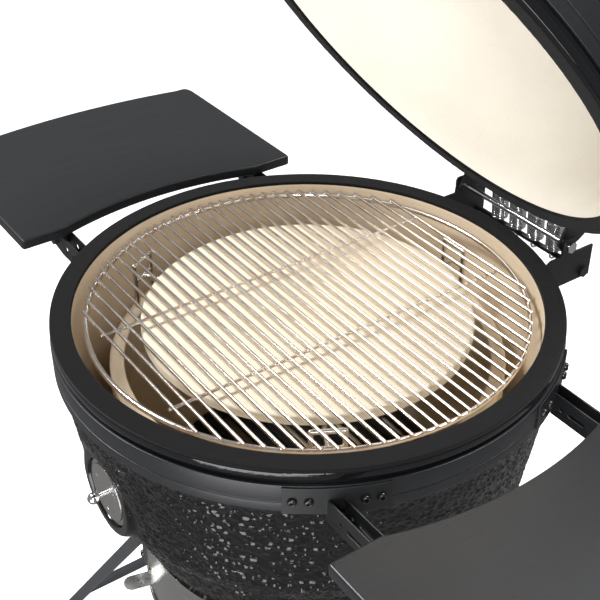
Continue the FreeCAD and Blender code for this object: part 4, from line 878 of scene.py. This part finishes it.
class GRILL_OT_springs(bpy.types.Operator):
    """Four bright coil springs hooked between the two bars"""
    bl_idname = "grill.springs"
    bl_label = "Assist springs"

    def execute(self, context):
        sizes = context.scene.grill_sizes
        wire, coil, eye = sizes.spring_wire / MM / 2, 10.0, 6.6
        fine, taper = 22, 0.05     # points in a turn, and part of the spring over which a coil opens
        ends = []
        for node in ("spring_bar_lower", "spring_bar_upper"):
            low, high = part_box(node)
            ends.append(np.array((low + high) / 2) / MM)
        lower, upper = ends
        way = (upper - lower)[1:]
        length = np.linalg.norm(way)
        way = np.array((0, *way)) / length
        out = np.cross((1, 0, 0), way)
        springs = []
        for middle, spots in islands("assist_springs"):
            base = np.array((middle.x, lower[1], lower[2]))
            turn = np.linspace(-1.6 * math.pi, 0, fine)
            path = [base + eye * (math.cos(t) * way + math.sin(t) * out) for t in turn]
            steps = sizes.coil_turns * fine
            for part in np.linspace(0, 1, steps)[1:-1]:
                rise = eye + part * (length - 2 * eye)
                reach = coil * smooth(0, taper, min(part, 1 - part))
                angle = part * sizes.coil_turns * 2 * math.pi
                path.append(base + way * rise
                            + reach * (math.cos(angle) * np.array((1, 0, 0)) + math.sin(angle) * out))
            path += [base + way * length + eye * (-math.cos(t) * way + math.sin(t) * out)
                     for t in turn[::-1]]
            springs.append(tube(path, wire, 10))
        place = Matrix.Identity(4)
        coils = make("assist_coils", merged(springs), place, None, [FINISHES["chrome"]],
                     ["assist_springs"])
        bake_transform(coils)
        return {"FINISHED"}


# ---- stand, handle, thermometer, knob --------------------------------------------------------

class GRILL_OT_feet(bpy.types.Operator):
    """Ribbed rubber feet"""
    bl_idname = "grill.feet"
    bl_label = "Feet"

    def execute(self, context):
        feet = []
        for middle, spots in islands("leg_feet"):
            rows = rounded([(0, 0), (13, 0, 2), (15, 3, 1), (14, 4.5, 0.6), (15, 6, 1), (15, 9, 1.2),
                            (13, 10, 1), (0, 10)])
            spot = Vector((middle.x, middle.y, 0))
            feet.append(moved(lathe(rows, None, 48), Matrix.Translation(spot)))
        make("rubber_feet", merged(feet), Matrix.Identity(4), "base", [FINISHES["rubber"]],
             ["leg_feet"])
        return {"FINISHED"}


class GRILL_OT_handle(bpy.types.Operator):
    """Round grip with turned ends and steel ferrules"""
    bl_idname = "grill.handle"
    bl_label = "Handle"

    def execute(self, context):
        half, radius = 165, 14
        ferrule = 4
        rows, kinds = joined(
            (1, rounded([(0, -half), (radius - 1, -half, 4), (radius - 0.2, -half + ferrule)],
                        closed=False, steps=6)),
            (0, rounded([(radius - 0.8, -half + ferrule), (radius - 0.8, -half + 6), (radius, -half + 7),
                         (radius, half - 7), (radius - 0.8, half - 6), (radius - 0.8, half - ferrule)],
                        closed=False)),
            (1, rounded([(radius - 0.2, half - ferrule), (radius - 1, half, 4), (0, half)],
                        closed=False, steps=6)))
        place = LID @ Matrix.Translation((0, -366 * MM, 37 * MM)) @ SIDEWAYS
        make("handle_grip", lathe(rows, kinds, 64), place, "lid",
             [FINISHES["board"], FINISHES["chrome"]], ["lid_handle"])
        return {"FINISHED"}


def tick(angle, inner, outer, wide, level):
    """A printed mark on the dial, from one radius to another at an angle."""
    across = np.array((math.cos(angle), math.sin(angle)))
    along = np.array((-math.sin(angle), math.cos(angle)))
    corners = [across * reach + along * side for reach, side in (
        (inner, -wide), (outer, -wide), (outer, wide), (inner, wide))]
    verts = np.array([(*spot, height) for height in (level, level + 0.12) for spot in corners])
    faces = [(3, 2, 1, 0), (4, 5, 6, 7), (0, 1, 5, 4), (1, 2, 6, 5), (2, 3, 7, 6), (3, 0, 4, 7)]
    return verts, faces, [1] * len(faces)


class GRILL_OT_gauge(bpy.types.Operator):
    """Thermometer case, and a dial with plain marks"""
    bl_idname = "grill.gauge"
    bl_label = "Thermometer"

    def execute(self, context):
        lean, knuckle = math.radians(26), 150
        spot = Matrix.Translation((0, -(SEAT - knuckle) * MM, (LID_LOW + SHOULDER) * MM))
        place = LID @ spot @ Matrix.Rotation(math.pi / 2 - lean, 4, "X") @ Matrix.Translation(
            (0, 0, knuckle * MM))
        case = rounded([(3, -62), (3, 1), (27, 1.5), (31, 5.5, 1.5), (31, 15.5, 1.4), (28.8, 15.5, 0.8),
                        (28.5, 4.5), (0, 4.5), (0, -62)])
        make("thermometer_case", lathe(case, None, 96), place, "lid", [FINISHES["chrome"]],
             ["gauge_case"])
        parts = [lathe([(0, 4.5), (28.3, 4.5), (28.3, 5.3), (0, 5.3)], [0] * 4, 96)]
        for step in range(41):
            angle = math.radians(225 - 270 * step / 40)
            large = step % 5 == 0
            parts.append(tick(angle, 21 if large else 23.5, 26.5, 0.45 if large else 0.2, 5.3))
        make("thermometer_dial", merged(parts), place, "lid", [FINISHES["dial"], FINISHES["ink"]],
             ["gauge_dial"])
        return {"FINISHED"}


class GRILL_OT_knob(bpy.types.Operator):
    """Turned knob of the top vent"""
    bl_idname = "grill.knob"
    bl_label = "Vent knob"

    def execute(self, context):
        rows = rounded([(0, 285), (8, 285, 0.5), (8, 288.6), (3, 288.6), (3, 296.3), (7.5, 296.3, 0.5),
                        (8, 300, 1), (11, 303, 2), (11, 307, 2), (8, 310.3, 2), (0, 310.3)])
        make("vent_knob", lathe(rows, None, 64), LID, "vent_wheel", [FINISHES["iron"]],
             ["vent_knob_pin"])
        return {"FINISHED"}


# ---- stage -----------------------------------------------------------------------------------

class GRILL_OT_stage(bpy.types.Operator):
    """Pale floor, soft studio lights and the camera"""
    bl_idname = "grill.stage"
    bl_label = "Stage"

    def execute(self, context):
        mesh = bpy.data.meshes.new("floor")
        reach = 12
        mesh.from_pydata([(x * reach, y * reach, 0) for x, y in ((-1, -1), (1, -1), (1, 1), (-1, 1))], [],
                         [(0, 1, 2, 3)])
        floor = bpy.data.objects.new("floor", mesh)
        context.scene.collection.objects.link(floor)
        material, shader = started("pale_floor", (0.9, 0.9, 0.9), roughness=0.9, emission_strength=0.45)
        shader.inputs["Specular IOR Level"].default_value = 0.0
        shader.inputs["Emission Color"].default_value = (1, 1, 1, 1)
        mesh.materials.append(material)
        floor.visible_glossy = False
        world = bpy.data.worlds.new("studio")
        world.use_nodes = True
        world.node_tree.nodes["Background"].inputs["Color"].default_value = (1, 1, 1, 1)
        world.node_tree.nodes["Background"].inputs["Strength"].default_value = 0.26
        context.scene.world = world
        for name, spot, size, power in (("key", (-1.6, -1.2, 3.2), 0.7, 110),
                                        ("low", (1.2, -1.8, 0.3), 1.6, 44),
                                        ("fill", (2.6, -1.9, 2.4), 0.8, 52),
                                        ("top", (0.5, 1.4, 3.4), 0.8, 80)):
            lamp = bpy.data.lights.new(name, "AREA")
            lamp.energy = power
            lamp.size = size
            light = bpy.data.objects.new(name, lamp)
            light.location = spot
            light.rotation_euler = (Vector((0, 0, 0.8)) - light.location).to_track_quat(
                "-Z", "Y").to_euler()
            context.scene.collection.objects.link(light)
        lens = bpy.data.cameras.new("camera")
        lens.lens = 68.38
        lens.sensor_width = 36
        camera = bpy.data.objects.new("camera", lens)
        camera.location = (0.9026, -0.70605, 1.6144)
        camera.rotation_euler = Vector((-0.6755, 0.4712, -0.5671)).to_track_quat(
            "-Z", "Y").to_euler()
        context.scene.collection.objects.link(camera)
        context.scene.camera = camera
        context.scene.view_settings.view_transform = "Standard"
        return {"FINISHED"}


class GRILL_PT_panel(bpy.types.Panel):
    """Lists the grill's pieces, sizes and colours"""
    bl_idname = "GRILL_PT_panel"
    bl_label = "Kamado grill"
    bl_space_type = "VIEW_3D"
    bl_region_type = "UI"
    bl_category = "Grill"

    def draw(self, context):
        for group in (context.scene.grill_sizes, context.scene.grill_colours):
            for key in group.__annotations__:
                self.layout.prop(group, key)
        for operator in OPERATORS:
            self.layout.operator(operator.bl_idname)


OPERATORS = (GRILL_OT_kept, GRILL_OT_bowl, GRILL_OT_lid, GRILL_OT_gaskets, GRILL_OT_bands,
             GRILL_OT_deflector, GRILL_OT_bolts, GRILL_OT_shelves, GRILL_OT_springs,
             GRILL_OT_feet, GRILL_OT_handle, GRILL_OT_gauge, GRILL_OT_knob, GRILL_OT_stage)
CLASSES = (GrillSizes, GrillColours, *OPERATORS, GRILL_PT_panel)


def register():
    """Add the classes and the scene's settings."""
    for item in CLASSES:
        bpy.utils.register_class(item)
    bpy.types.Scene.grill_sizes = PointerProperty(type=GrillSizes)
    bpy.types.Scene.grill_colours = PointerProperty(type=GrillColours)


def unregister():
    """Take them away again."""
    del bpy.types.Scene.grill_colours
    del bpy.types.Scene.grill_sizes
    for item in reversed(CLASSES):
        bpy.utils.unregister_class(item)


def main():
    """Make every piece in order."""
    register()
    make_finishes(bpy.context.scene.grill_colours)
    for operator in OPERATORS:
        group, name = operator.bl_idname.split(".")
        getattr(getattr(bpy.ops, group), name)()
    bpy.context.view_layer.update()


if __name__ == "__main__":
    main()
